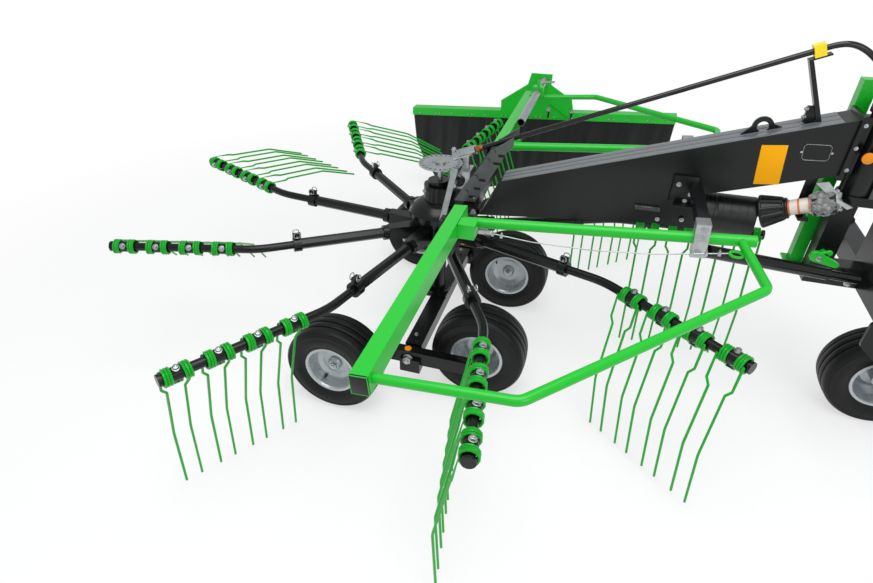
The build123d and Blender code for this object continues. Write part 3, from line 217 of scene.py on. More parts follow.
# %% Curtain cloth
curtain_cloth, tree, shader, place = start("pvc_coated_cloth", 0.0, 0.45, 1.5, 0.0, 0.35)
shader.inputs["Sheen Weight"].default_value = 0.05
dust = add(tree, "ShaderNodeTexNoise", {"Scale": 5.0, "Detail": 6.0}, {"Vector": place})
lift = add(tree, "ShaderNodeMapRange", {"From Min": 0.4, "From Max": 0.75, "To Max": 0.6},
           {"Value": dust.outputs["Fac"]})
mixed = add(tree, "ShaderNodeMix", {"data_type": "RGBA", 6: linear("0D0E0F"), 7: linear("1B1C1D")},
            {0: lift.outputs["Result"]})
tree.links.new(mixed.outputs[2], shader.inputs["Base Color"])
warp = add(tree, "ShaderNodeTexWave", {"bands_direction": "X", "Scale": 105.0}, {"Vector": place})
weft = add(tree, "ShaderNodeTexWave", {"bands_direction": "Z", "Scale": 105.0}, {"Vector": place})
crossed = add(tree, "ShaderNodeMath", {"operation": "MAXIMUM"},
              {0: warp.outputs["Fac"], 1: weft.outputs["Fac"]})
bump = add(tree, "ShaderNodeBump", {"Strength": 0.25, "Distance": 0.0006},
           {"Height": crossed.outputs["Value"]})
tree.links.new(bump.outputs["Normal"], shader.inputs["Normal"])

# %% [markdown]
# A reflector is a clear orange acrylic plate over a field of tiny corner prisms. A lattice of 3 mm
# cells in the bump breaks the highlight up as those prisms do.

# %% Reflector
reflector_lens, tree, shader, place = start("orange_reflector_acrylic", 0.0, 0.16, 1.49, 0.1, 0.3)
cells = add(tree, "ShaderNodeTexVoronoi", {"Scale": 330.0, "Randomness": 0.0}, {"Vector": place})
shade = add(tree, "ShaderNodeMix", {"data_type": "RGBA", 6: linear("F59A0E"), 7: linear("C96A06")},
            {0: cells.outputs["Distance"]})
tree.links.new(shade.outputs[2], shader.inputs["Base Color"])
bump = add(tree, "ShaderNodeBump", {"Strength": 0.5, "Distance": 0.001},
           {"Height": cells.outputs["Distance"]})
tree.links.new(bump.outputs["Normal"], shader.inputs["Normal"])

# %% [markdown]
# Packing film is a thin clear polyethylene. It lets most light through and shows mainly by the
# broken highlights on its creases, so it is an alpha mix with a fine crease bump.

# %% Packing film
clear_film, tree, shader, place = start("clear_packing_film", 0.0, 0.14, 1.45, 0.4)
shader.inputs["Base Color"].default_value = linear("E4E6E4")
crease = add(tree, "ShaderNodeTexVoronoi", {"Scale": 48.0}, {"Vector": place})
shine = add(tree, "ShaderNodeMapRange", {"From Max": 0.6, "To Min": 0.5, "To Max": 0.22},
            {"Value": crease.outputs["Distance"]})
tree.links.new(shine.outputs["Result"], shader.inputs["Alpha"])
bump = add(tree, "ShaderNodeBump", {"Strength": 0.8, "Distance": 0.003},
           {"Height": crease.outputs["Distance"]})
tree.links.new(bump.outputs["Normal"], shader.inputs["Normal"])

# %% [markdown]
# Each CAD node that stays visible gets its finish here, by the start of its name.

# %% Finishes of the CAD nodes
finishes = (
    ("tyre_", tyre_rubber), ("rim_", silver_enamel), ("bogie_", black_enamel),
    ("cross_axle", black_enamel), ("rotor_column", black_enamel), ("rotor_hub", black_enamel),
    ("rotor_arms", black_enamel), ("tine_sets", tine_enamel), ("housing_lid", black_enamel),
    ("gear_housing", black_enamel), ("height_spindle", zinc), ("height_disc", zinc),
    ("head_bracket", zinc), ("lock_lever", zinc), ("slotted_plate_", dark_steel),
    ("main_beam", black_enamel), ("swivel_head", black_enamel), ("headstock_mast", black_enamel),
    ("lower_link_beam", black_enamel), ("input_housing", black_enamel),
    ("shaft_guard_pot", black_plastic), ("drive_shaft", black_plastic), ("shaft_rest", black_enamel),
    ("line_swivel", zinc), ("oil_line", hose_rubber), ("line_clamp", yellow_enamel),
    ("line_stay", black_enamel), ("hose_coupling", zinc), ("coupling_holder", black_enamel),
    ("stabiliser_strut", black_enamel), ("jockey_leg", black_enamel), ("stand_sleeve", black_enamel),
    ("parking_stand", green_enamel), ("guard_hoop_", green_enamel), ("guard_beam_", green_enamel),
    ("guard_carrier", black_enamel), ("guard_bracket_", zinc), ("guard_arm_", black_enamel),
    ("guard_wire_", zinc), ("boom_tube", zinc), ("curtain_frame", green_enamel),
    ("curtain", curtain_cloth),
)
for name, node in nodes.items():
    finish = next((m for key, m in finishes if name.startswith(key)), black_enamel)
    node.data.materials.clear()
    node.data.materials.append(finish)
print("finished nodes:", len(nodes))

# %% [markdown]
# Small helpers turn a finished bmesh into a piece on its body. The normals are recalculated after
# doubles are merged, since spin and mirror can turn a shape inside out, and faces are shaded smooth
# with edges sharper than 35 degrees kept.

# %% Pieces
def piece(mesh, name, body, material, smooth=True):
    if isinstance(mesh, bmesh.types.BMesh):
        data = bpy.data.meshes.new(name)
        mesh.to_mesh(data)
        mesh.free()
    else:
        data = mesh
        data.name = name
    obj = bpy.data.objects.new(name, data)
    bpy.context.scene.collection.objects.link(obj)
    data.materials.clear()
    data.materials.append(material)
    if smooth:
        data.shade_smooth()
        data.set_sharp_from_angle(angle=radians(35))
    if body:
        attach(obj, body)
    return obj


def tidy(mesh, distance=0.00005):
    bmesh.ops.remove_doubles(mesh, verts=mesh.verts, dist=distance)
    bmesh.ops.recalc_face_normals(mesh, faces=mesh.faces)
    return mesh


# %% [markdown]
# A wire or tube is drawn as a curve, because a curve carries its thickness along any path. Several
# paths share one curve, which is then made a mesh.

# %% Wires
def wires(name, paths, radius, sides, kind="POLY", closed=False):
    curve = bpy.data.curves.new(name + "_line", "CURVE")
    curve.dimensions = "3D"
    curve.bevel_depth = radius
    curve.bevel_resolution = sides
    curve.use_fill_caps = True
    curve.resolution_u = 6
    for path in paths:
        spline = curve.splines.new(kind)
        spline.points.add(len(path) - 1)
        for point, at in zip(spline.points, path):
            point.co = (*at, 1.0)
        spline.use_cyclic_u = closed
        if kind == "NURBS":
            spline.order_u = 3
            spline.use_endpoint_u = True
    holder = bpy.data.objects.new(name + "_line", curve)
    bpy.context.scene.collection.objects.link(holder)
    bpy.context.view_layer.update()
    mesh = bpy.data.meshes.new_from_object(holder.evaluated_get(bpy.context.evaluated_depsgraph_get()))
    bpy.data.objects.remove(holder)
    bpy.data.curves.remove(curve)
    return mesh


# %% [markdown]
# The free hose leaves the clamp on its stay, crosses over the swivel so that the machine can turn,
# hangs in a bow on the left of the mast and ends in a parked coupling. Its control points are those
# of the solid, so it follows the tube in one smooth line. It is one fixed mesh on no body, so it does
# not bend when the headstock swivels.

# %% Free hose
hose_route = ((1.2725, 0.0, 1.4216), (1.3077, 0.0, 1.4361), (1.3527, 0.0, 1.4361),
              (1.4021, 0.001, 1.4117), (1.4540, 0.010, 1.3660), (1.5450, 0.054, 1.3160),
              (1.6500, 0.098, 1.2940), (1.7520, 0.118, 1.2600), (1.8320, 0.121, 1.2000),
              (1.8840, 0.122, 1.1100), (1.8970, 0.122, 1.0060), (1.8595, 0.121, 0.9344),
              (1.7864, 0.119, 0.9018), (1.7088, 0.116, 0.9212), (1.6595, 0.112, 0.9842),
              (1.6640, 0.106, 1.0620), (1.6600, 0.104, 1.1350), (1.6600, 0.104, 1.1950))
hose_path = wires("hose_path", [hose_route], 0.0, 0, "NURBS")
hose_jacket = piece(wires("hose_jacket", [hose_route], 0.0095, 6, "NURBS"), "hose_jacket", None,
                    hose_rubber)
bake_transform(hose_jacket)
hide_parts("hose")

# %% [markdown]
# Each double tine is one length of 9.4 mm spring wire: a leg, three and a quarter turns round the
# tube, a bridge under the clamp, as many turns back and the other leg. The turns lie side by side.
# The leg leaves the coil as a tangent, bends to one side, and kicks forward in its lower part.

# %% Tine sizes
arm_count = 9
first_azimuth = 137.8
arm_root_height = 0.585
arm_rise = 2.35
bend_at, tip_to_bend, bend_angle = 0.807, 0.591, 18.9
tine_pitch, coil_pair, first_coil = 0.134, 0.061, 0.019
wire_radius = 0.0047
turn_radius = 0.0262
turns, turn_steps = 3, 12
bridge_half, bridge_depth = 0.004, 0.012
half_coil = 0.0143
joggle_top, joggle_drop, joggle_shift = 0.092, 0.024, 0.0153
upper_leg, lower_leg, kick = 0.362, 0.256, radians(13.5)
swings = (74.0, 82.0, 60.0, 17.0, 11.0, 10.0, 10.0, 14.0, 20.0)
tip_x = bend_at + tip_to_bend * cos(radians(bend_angle))
tip_y = -tip_to_bend * sin(radians(bend_angle))


def arm_frame(azimuth):
    return (Matrix.Rotation(radians(azimuth), 4, "Z") @ Matrix.Translation((0, 0, arm_root_height))
            @ Matrix.Rotation(radians(-arm_rise), 4, "Y"))


bar_frame = Matrix.Translation((tip_x, tip_y, 0)) @ Matrix.Rotation(radians(-bend_angle), 4, "Z")
tine_places = [-(first_coil + coil_pair / 2 + place * tine_pitch) for place in range(4)]

# %% Tine wires
paths = []
for index in range(arm_count):
    place = arm_frame(first_azimuth + index * 360 / arm_count) @ bar_frame
    for centre in tine_places:
        stand = place @ Matrix.Translation((centre, 0, 0)) @ Matrix.Rotation(radians(-swings[index]), 4, "X")
        for side in (-1, 1):
            coil_end = side * (coil_pair / 2 + half_coil)
            coil_in = side * (coil_pair / 2 - half_coil)
            path = [(side * bridge_half, bridge_depth, -turn_radius),
                    (coil_in - side * 0.003, bridge_depth / 2, -turn_radius)]
            steps = turn_steps * turns + turn_steps // 4
            for step in range(steps + 1):
                angle = -pi / 2 - step * 2 * pi / turn_steps
                share = step / steps
                path.append((coil_in + share * (coil_end - coil_in), turn_radius * cos(angle),
                             turn_radius * sin(angle)))
            y = path[-1][1]
            shift = -side * joggle_shift
            path += [(coil_end, y, -joggle_top), (coil_end + shift, y, -joggle_top - joggle_drop),
                     (coil_end + shift, y, -upper_leg + 0.006),
                     (coil_end + shift, y + 0.006 * sin(kick), -upper_leg - 0.006),
                     (coil_end + shift, y + lower_leg * sin(kick), -upper_leg - lower_leg * cos(kick))]
            paths.append([stand @ Vector(p) for p in path])
tine_mesh = wires("tine_wires", paths, wire_radius, 1)
tine_wires = piece(tine_mesh, "tine_wires", "rotor", tine_enamel)
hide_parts("tine_sets")
print("tine wires:", len(paths), "faces:", len(tine_mesh.polygons))

# %% [markdown]
# Fasteners are hexagon heads and flange nuts: a six-sided prism with a small bevel on its top edge,
# over a flat flange. A domed stub of thread stands above a nut. They are placed by a point on the
# surface and the way it faces, and all that ride on one body become one piece.

# %% Fastener shapes
def facing(at, way):
    return Matrix.Translation(Vector(at)) @ Vector(way).to_track_quat("Z", "Y").to_matrix().to_4x4()


def rod(mesh, place, radius, start_z, end_z, segments, edge=0.0):
    made = bmesh.ops.create_cone(mesh, cap_ends=True, segments=segments, radius1=radius,
                                 radius2=radius, depth=end_z - start_z)
    verts = made["verts"]
    bmesh.ops.translate(mesh, verts=verts, vec=(0, 0, (start_z + end_z) / 2))
    if edge:
        top_edges = [e for e in mesh.edges if e.verts[0] in verts and e.verts[1] in verts
                     and min(e.verts[0].co.z, e.verts[1].co.z) > end_z - 1e-6]
        faces = bmesh.ops.bevel(mesh, geom=top_edges, affect="EDGES", offset=edge, segments=2,
                                profile=0.5, material=-1)
        verts = list({v for f in faces["faces"] for v in f.verts} | {v for v in verts if v.is_valid})
    bmesh.ops.transform(mesh, matrix=place, verts=verts)


def block(mesh, place, size, edge):
    made = bmesh.ops.create_cube(mesh, size=1.0)
    bmesh.ops.scale(mesh, vec=size, verts=made["verts"])
    edges = list({e for v in made["verts"] for e in v.link_edges})
    faces = bmesh.ops.bevel(mesh, geom=edges, affect="EDGES", offset=edge, segments=2, profile=0.5,
                            material=-1)
    verts = list({v for f in faces["faces"] for v in f.verts} | {v for v in made["verts"] if v.is_valid})
    verts = list({w for v in verts for f in v.link_faces for w in f.verts})
    bmesh.ops.transform(mesh, matrix=place, verts=verts)


def hexagon(mesh, at, way, size, stub):
    place = facing(at, way)
    rod(mesh, place, size * 1.32, 0.0, size * 0.22, 20, size * 0.1)
    rod(mesh, place, size, size * 0.2, size * 1.05, 6, size * 0.14)
    if stub:
        rod(mesh, place, size * 0.52, size, size + stub, 12, size * 0.16)


# %% [markdown]
# A flange nut on top of each clip and a small plate below hold the tine wires on their tube. They
# turn with the clip, so they use the same frames as the wires.

# %% Clip fasteners
nuts = bmesh.new()
plates = bmesh.new()
for index in range(arm_count):
    place = arm_frame(first_azimuth + index * 360 / arm_count) @ bar_frame
    for centre in tine_places:
        clip = place @ Matrix.Translation((centre, 0, 0)) @ Matrix.Rotation(radians(-swings[index]), 4, "X")
        seat = clip @ Matrix.Translation((0, 0, 0.025))
        rod(nuts, seat, 0.0125, 0.0, 0.003, 20, 0.001)
        rod(nuts, seat, 0.0098, 0.0028, 0.0115, 6, 0.0014)
        rod(nuts, seat, 0.005, 0.0112, 0.0145, 12, 0.0016)
        block(plates, clip @ Matrix.Translation((0, 0.002, -0.0335)), (0.031, 0.020, 0.003), 0.001)
        for side in (-1, 1):
            block(plates, clip @ Matrix.Translation((side * 0.0145, 0.002, -0.0295)),
                  (0.003, 0.020, 0.009), 0.001)
piece(tidy(nuts), "clip_nuts", "rotor", zinc)
piece(tidy(plates), "clip_plates", "rotor", zinc)

# %% [markdown]
# The wheels are implement tyres with four ribs round the tread. Their section is drawn from bead to
# bead, with rounded grooves and two thin rings on each shoulder, and spun round the axle.

# %% Tyres
def spun(section, steps, place):
    mesh = bmesh.new()
    verts = [mesh.verts.new(at) for at in section]
    edges = [mesh.edges.new((a, b)) for a, b in zip(verts, verts[1:] + verts[:1])]
    bmesh.ops.spin(mesh, geom=verts + edges, cent=(0, 0, 0), axis=(0, 0, 1), angle=2 * pi,
                   steps=steps, use_merge=True)
    tidy(mesh, 0.00002)
    bmesh.ops.transform(mesh, matrix=place, verts=mesh.verts)
    return mesh


half_section = [(0.1975, 0.0), (0.1975, 0.0002), (0.1972, 0.0028), (0.2020, 0.0044), (0.2030, 0.0064),
                (0.2028, 0.0180), (0.2022, 0.0290), (0.2008, 0.0308), (0.1962, 0.0322), (0.1960, 0.0362),
                (0.2000, 0.0378), (0.2012, 0.0396), (0.2004, 0.0520), (0.1988, 0.0620), (0.1962, 0.0682),
                (0.1920, 0.0728), (0.1885, 0.0748), (0.1868, 0.0772), (0.1850, 0.0772), (0.1836, 0.0762),
                (0.1790, 0.0782), (0.1778, 0.0800), (0.1760, 0.0800), (0.1746, 0.0795), (0.1650, 0.0818),
                (0.1560, 0.0824), (0.1460, 0.0816), (0.1350, 0.0788), (0.1260, 0.0752), (0.1215, 0.0728),
                (0.1200, 0.0734), (0.1180, 0.0730), (0.1160, 0.0712), (0.1130, 0.0702), (0.1122, 0.0690),
                (0.1122, 0.0662), (0.1014, 0.0655)]
section = [(r, 0, w) for r, w in half_section] + [(r, 0, -w) for r, w in reversed(half_section[1:])]
wheel_radius = 0.203
wheel_rows = (("rear_right", -0.26, -0.603, -1), ("rear_left", -0.26, 0.603, 1),
              ("front_right", 0.30, -0.341, 1), ("front_left", 0.30, 0.341, -1),
              ("jockey", 1.886, 0.0, 1))
for name, x, y, side in wheel_rows:
    place = facing((x, y, wheel_radius), (0, side, 0))
    tyre = piece(spun(section, 96, place), "tread_" + name, "wheel_" + name, tyre_rubber)
    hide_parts("tyre_" + name)

# %% [markdown]
# Each rim carries a zinc nut over a washer in its middle and a valve in its hole. The valves stand
# at the turn that the photograph shows for the two near wheels.

# %% Wheel fittings
for name, x, y, side in wheel_rows:
    place = facing((x, y, wheel_radius), (0, side, 0))
    metal = bmesh.new()
    rod(metal, place, 0.0205, 0.0310, 0.0335, 28, 0.0008)
    rod(metal, place, 0.0165, 0.0330, 0.0440, 6, 0.0020)
    rod(metal, place, 0.0090, 0.0438, 0.0500, 20, 0.0022)
    piece(tidy(metal), "hub_nut_" + name, "wheel_" + name, zinc)
    rubber = bmesh.new()
    turned = {"rear_right": 239, "front_right": 82}.get(name, 140)
    valve = (place @ Matrix.Rotation(radians(turned), 4, "Z") @ Matrix.Translation((0.090, 0, 0.0225))
             @ Matrix.Rotation(radians(-25), 4, "Y"))
    rod(rubber, valve, 0.0060, -0.001, 0.010, 16, 0.0015)
    rod(rubber, valve, 0.0038, 0.009, 0.026, 14, 0.0012)
    piece(tidy(rubber), "valve_" + name, "wheel_" + name, black_plastic)

# %% [markdown]
# The curtain hangs from its folded rail. It is a grid of quads whose rows follow the cut of the
# cloth, pushed in and out in soft upright folds that start flat under the rail and deepen towards
# the free lower edge, as a stiff coated cloth does. A Solidify modifier gives it 2 mm.

# %% Curtain cloth piece
def rail_height(x):
    return 0.686 + 0.055 * (x - 0.19)


rail_face, cloth_plane = 1.5158, 1.5315
rear_x, front_x = -0.63, 1.058
under_rail, hem_height, cut_height = 0.0043, 0.135, 0.395
edge_lean, cut_depth, cut_drop = 0.026, 0.13, 0.26
cloth = bmesh.new()
bmesh.ops.create_grid(cloth, x_segments=150, y_segments=26, size=0.5)
for vert in cloth.verts:
    along, drop = vert.co.x + 0.5, 0.5 - vert.co.y
    rear_top = rail_height(rear_x) - under_rail
    rear_z = rear_top + (hem_height - rear_top) * drop
    cut = max(0.0, (cut_height - rear_z) / cut_drop)
    lean = edge_lean * min(1.0, (rear_top - rear_z) / (rear_top - cut_height))
    rear = rear_x + lean + cut_depth * cut
    front = front_x - edge_lean * drop
    x = rear + (front - rear) * along
    top_z = rail_height(x) - under_rail
    z = top_z + (hem_height - top_z) * drop
    fold = (0.015 * sin(x * 23.0 + 0.6 * sin(x * 7.0)) + 0.009 * sin(x * 51.0 + 1.3)
            + 0.004 * sin(x * 97.0 + 4.0 * drop))
    vert.co = (x, cloth_plane + drop ** 0.8 * fold, z)
cloth_area = sum(f.calc_area() for f in cloth.faces)
print("curtain area:", round(cloth_area, 3))
curtain_sheet = piece(cloth, "curtain_sheet", "curtain_boom", curtain_cloth)
thick = curtain_sheet.modifiers.new("thickness", "SOLIDIFY")
thick.thickness = 0.002
thick.offset = 0.0
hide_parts("curtain")

# %% [markdown]
# The pot over the input is a sleeve with a few low rings, and the shaft's own guard opens into a
# ribbed bell. Past the bell the guard tube carries pale film between orange rings. Its free end is
# still wrapped in clear packing film, crumpled by pushing the points of a tube in and out.

# %% Drive shaft guard
def ring_path(place, radius, z):
    angles = [2 * pi * i / ring_steps for i in range(ring_steps)]
    return [place @ Vector((radius * cos(a), radius * sin(a), z)) for a in angles]


ring_steps = 40
shaft_height = 0.8162
shaft_aside, shaft_down = radians(-14.0), radians(66.0)
pot = facing((1.104, 0.0, shaft_height), (1, 0, 0))
rings = [ring_path(pot, 0.0771, -0.040 + 0.0277 * index) for index in range(7)]
piece(wires("pot_rings", rings, 0.0014, 3, closed=True), "pot_rings", "chassis",
      black_plastic)
sleeve = bmesh.new()
rod(sleeve, pot, 0.0772, -0.044, 0.002, 48, 0.001)
piece(tidy(sleeve), "pot_sleeve", "chassis", black_plastic)
shaft = (Matrix.Translation((1.170, 0.0, shaft_height)) @ Matrix.Rotation(shaft_aside, 4, "Z")
         @ Matrix.Rotation(shaft_down, 4, "Y"))
ribs = []
for index in range(12):
    turn = 2 * pi * index / 12
    ribs.append([shaft @ Vector((r * cos(turn), r * sin(turn), z))
                 for r, z in ((0.0565, 0.097), (0.047, 0.132), (0.037, 0.166))])
piece(wires("bell_ribs", ribs, 0.0062, 3), "bell_ribs", "chassis", black_plastic)
collars = [ring_path(shaft, r, z) for r, z in ((0.0565, 0.0985), (0.0355, 0.168), (0.0335, 0.176))]
piece(wires("bell_collars", collars, 0.0052, 3, closed=True), "bell_collars", "chassis",
      black_plastic)
orange = bmesh.new()
pale = bmesh.new()
for start_z in (0.181, 0.211, 0.243):
    rod(orange, shaft, 0.0292, start_z, start_z + 0.006, 36, 0.0012)
for start_z, end_z in ((0.187, 0.211), (0.217, 0.243)):
    rod(pale, shaft, 0.0277, start_z, end_z, 36)
piece(tidy(orange), "shaft_rings", "chassis", orange_ring)
piece(tidy(pale), "shaft_labels", "chassis", pale_label)
film = bmesh.new()
around, along = 28, 16
film_rings = []
for row in range(along + 1):
    share = row / along
    z = 0.244 + 0.092 * share
    radius = 0.031 + 0.0135 * sin(pi * min(1.0, share * 1.15)) ** 0.6
    ring = []
    for a in (2 * pi * i / around for i in range(around)):
        r = radius + 0.0035 * sin(5.0 * a + 21.7 * share) + 0.0025 * sin(11.0 * a + 17.0 * share)
        ring.append(film.verts.new(shaft @ Vector((r * cos(a), r * sin(a), z + 0.003 * sin(7.0 * a)))))
    film_rings.append(ring)
for low, high in zip(film_rings, film_rings[1:]):
    for i in range(around):
        film.faces.new((low[i], low[(i + 1) % around], high[(i + 1) % around], high[i]))
piece(tidy(film), "shaft_film", "chassis", clear_film, False)

# %% [markdown]
# Plates on the beam stay blank: an amber film and a small type plate, drawn as a light rim with a
# rivet at each end. Three flat grey bands on the black beam's top are painted sheen for the light its
# top face catches, and leave two dark seams between them.

# %% Beam plates
beam_rise, beam_side = 0.315, 0.0602
slope = atan2(beam_rise, 1.0)
films = bmesh.new()
block(films, Matrix.Translation((1.2200, -0.0604, 1.0470)) @ Matrix.Rotation(radians(-5.8), 4, "Y"),
      (0.080, 0.0008, 0.142), 0.0002)
piece(tidy(films), "beam_film", "chassis", amber_film)
plate_rim = [(1.307, 1.131), (1.374, 1.134), (1.382, 1.126), (1.384, 1.088), (1.377, 1.080),
             (1.312, 1.077), (1.304, 1.085), (1.300, 1.123)]
rim_wire = wires("plate_rim", [[(x, -beam_side, z) for x, z in plate_rim]], 0.0008, 1, closed=True)
piece(rim_wire, "plate_rim", "chassis", zinc)
rivets = bmesh.new()
for x, z in ((1.2975, 1.103), (1.3875, 1.108)):
    rod(rivets, facing((x, -0.0600, z), (0, -1, 0)), 0.0040, 0.0, 0.0020, 16, 0.0009)
piece(tidy(rivets), "plate_rivets", "chassis", zinc)
# painted sheen: grey bands laid on the black beam's top
bands = bmesh.new()
for y in (-0.0405, 0.0, 0.0405):
    middle = (Matrix.Translation((0.838, y, 0.862 + beam_rise * (0.838 - 0.282)))
              @ Matrix.Rotation(-slope, 4, "Y"))
    block(bands, middle @ Matrix.Translation((0, 0, 0.0012)), (1.155, 0.0365, 0.0024), 0.0006)
piece(tidy(bands), "beam_sheen_bands", "chassis", grey_sheen_enamel)

# %% [markdown]
# Bolts go in by a table: the body, then each head's place, the way it faces and its size. The heads
# of one body are one mesh.

# %% Bolts
gusset_bolts = (0.289, 0.433)
bolt_rows = {
    "chassis": [((1.005, side * 0.4402, 0.9075 + lift), (0, side, 0), 0.0090)
                for side in (-1, 1) for lift in (-0.040, 0.040)]
    + [((x, side * beam_side, z), (0, side, 0), 0.0065) for side in (-1, 1)
       for x, z in ((-0.045, 0.708), (-0.045, 0.776), (0.178, 0.708), (0.178, 0.776))]
    + [((1.2830, -0.0040, z), (-1.0, -0.4, 0), 0.0065) for z in (1.205, 1.232)]
    + [((x, -0.0760, z), (0, -1, 0), 0.0068) for x, z in ((0.946, 0.945), (0.994, 0.911), (0.980, 0.882))]
    + [((0.905, -beam_side, 0.788), (0, -1, 0), 0.0065), ((0.990, -0.0622, 0.799), (0, -1, 0), 0.0065)]
    + [((1.4440, side * 0.0722, z), (0, side, 0), 0.0050) for side in (-1, 1)
       for z in (0.985, 1.060, 1.135, 1.210)]
    + [((0.025, side * 0.386, 0.2472), (0, 0, 1), 0.0070) for side in (-1, 1)],
    "headstock": [((1.600, side * 0.0752, z), (0, side, 0), 0.0100) for side in (-1, 1)
                  for z in (0.640, 1.290)]
    + [((1.648, side * 0.4162, 0.640), (0, side, 0), 0.0110) for side in (-1, 1)],
    "curtain_boom": [((x, rail_face, 0.712), (0, -1, 0), 0.0100) for x in gusset_bolts],
}
for body, rows in bolt_rows.items():
    heads = bmesh.new()
    for at, way, size in rows:
        hexagon(heads, at, way, size, size * 0.6)
    piece(tidy(heads), "bolts_" + body, body, zinc)
pivots = bmesh.new()
for side in (-1, 1):
    place = facing((0.020, side * 0.4936, 0.1960), (0, side, 0))
    rod(pivots, place, 0.0245, 0.0, 0.0040, 28, 0.0010)
    rod(pivots, place, 0.0195, 0.0038, 0.0190, 6, 0.0030)
    rod(pivots, place, 0.0110, 0.0188, 0.0270, 20, 0.0030)
piece(tidy(pivots), "bogie_pivot_nuts", "chassis", zinc)

# %% [markdown]
# Rivets run along the curtain's rail, single and in pairs. Each gusset slot is a thin black strip under
# its bolt, painted shade in place of the open slot, with a flat brace between the two.

# %% Curtain fittings
rail_rivets = bmesh.new()
for index in range(15):
    x = -0.575 + index * 0.113
    for shift in ((0.0, 0.028) if index % 2 else (0.0,)):
        seat = facing((x + shift, rail_face, rail_height(x + shift) - 0.030), (0, -1, 0))
        rod(rail_rivets, seat, 0.0052, 0.0, 0.0026, 14, 0.0012)
piece(tidy(rail_rivets), "rail_rivets", "curtain_boom", zinc)
slot_shade_strips = bmesh.new()
# painted shade: black strips where the gusset slots open
for x in gusset_bolts:
    block(slot_shade_strips, Matrix.Translation((x + 0.004, 1.5156, 0.676)), (0.012, 0.0012, 0.040), 0.0004)
piece(tidy(slot_shade_strips), "gusset_slot_shade", "curtain_boom", black_enamel)
brace = bmesh.new()
block(brace, facing((0.357, 1.5135, 0.712), (0.124, 0, -0.078)), (0.014, 0.005, 0.150), 0.001)
piece(tidy(brace), "gusset_brace", "curtain_boom", green_enamel)

# %% [markdown]
# Orange reflectors: one on the swivel head, one on each bogie.

# %% Reflectors
for name, body, at, way, radius in (
        ("reflector_head", "chassis", (1.4890, -0.0722, 1.1070), (0, -1, 0), 0.0190),
        ("reflector_right", "chassis", (0.0160, -0.4750, 0.2340), (0, 0, 1), 0.0150),
        ("reflector_left", "chassis", (0.0160, 0.4750, 0.2340), (0, 0, 1), 0.0150)):
    lens = bmesh.new()
    rod(lens, facing(at, way), radius, 0.0, 0.0060, 30, 0.0016)
    piece(tidy(lens), name, body, reflector_lens)

# %% [markdown]
# Each guard wire ends at the rear in a small fork with its pin, and its loops are held by two wire
# clips there and three near the ring.

# %% Guard wire ends
def wire_at(share, side):
    return (0.2775 + 0.8005 * share, side * (0.462 + 0.038 * share),
            0.842 + 0.069 * share - 0.144 * share * (1 - share))


for label, side in (("right", -1), ("left", 1)):
    forks = bmesh.new()
    x, y, z = wire_at(0.012, side)
    for shift in (-0.0075, 0.0075):
        block(forks, Matrix.Translation((x + 0.012, y + shift, z)), (0.036, 0.0030, 0.0150), 0.0010)
    rod(forks, facing((x + 0.016, y - 0.013, z), (0, 1, 0)), 0.0042, 0.0, 0.0260, 14, 0.0010)
    block(forks, Matrix.Translation((x + 0.035, y, z)), (0.014, 0.0120, 0.0120), 0.0020)
    for share in (0.075, 0.115, 0.875, 0.925, 0.970):
        x, y, z = wire_at(share, side)
        block(forks, Matrix.Translation((x, y, z)), (0.0100, 0.0110, 0.0140), 0.0018)
        for shift in (-0.0035, 0.0035):
            rod(forks, facing((x, y + shift, z + 0.0060), (0, 0, 1)), 0.0024, 0.0, 0.0070, 6, 0.0006)
    piece(tidy(forks), "wire_forks_" + label, "guard_" + label, zinc)

# %% [markdown]
# Black plugs close the outer ends of the square guard beams.

# %% Beam plugs
plug_x, plug_y, plug_height, plug_tilt = 0.190, 1.3178, 0.83977, radians(-4.745)
for label, side in (("right", -1), ("left", 1)):
    plug = bmesh.new()
    place = Matrix.Translation((plug_x, side * plug_y, plug_height)) @ Matrix.Rotation(plug_tilt, 4, "Y")
    block(plug, place, (0.0502, 0.0085, 0.0602), 0.0020)
    piece(tidy(plug), "beam_plug_" + label, "guard_" + label, black_plastic)

# %% [markdown]
# A spring pin locks each tine tube in its arm: a short zinc pin through the clamp's lug, with a wire
# loop that folds over it.

# %% Arm pins
pins = bmesh.new()
loops = []
for index in range(arm_count):
    place = arm_frame(first_azimuth + index * 360 / arm_count) @ Matrix.Translation((0.640, 0, 0.040))
    rod(pins, place @ Matrix.Rotation(radians(90), 4, "X"), 0.0045, -0.017, 0.017, 14, 0.0012)
    for y in (-0.0155, 0.0155):
        loops.append([place @ Vector((x, y, z)) for x, z in
                      ((-0.010, -0.002), (-0.013, 0.006), (-0.012, 0.016), (-0.005, 0.021), (0.005, 0.021),
                       (0.012, 0.016), (0.013, 0.006), (0.010, -0.002), (0.0, -0.005))])
piece(tidy(pins), "arm_pins", "rotor", zinc)
piece(wires("arm_pin_loops", loops, 0.0019, 1, closed=True), "arm_pin_loops", "rotor", zinc)

# %% [markdown]
# The latch of the headstock is a green lobed lever on the near side of the column, with a zinc bolt.
# Two zinc plates form a tongue beside the mast. Both are hulls round a few outlines. A copper fitting
# ends the oil line.

# %% Latch and tongue
def hull(mesh, points):
    verts = [mesh.verts.new(point) for point in points]
    made = bmesh.ops.convex_hull(mesh, input=verts)
    spare = {v for v in made["geom_interior"] + made["geom_unused"] if isinstance(v, bmesh.types.BMVert)}
    bmesh.ops.delete(mesh, geom=list(spare), context="VERTS")


def lobe(x, z, radius, near, far):
    return [(x + r * cos(a), y, z + r * sin(a))
            for y, r in ((near, radius), (far + 0.002, radius), (far, radius - 0.002))
            for a in (2 * pi * i / 28 for i in range(28))]


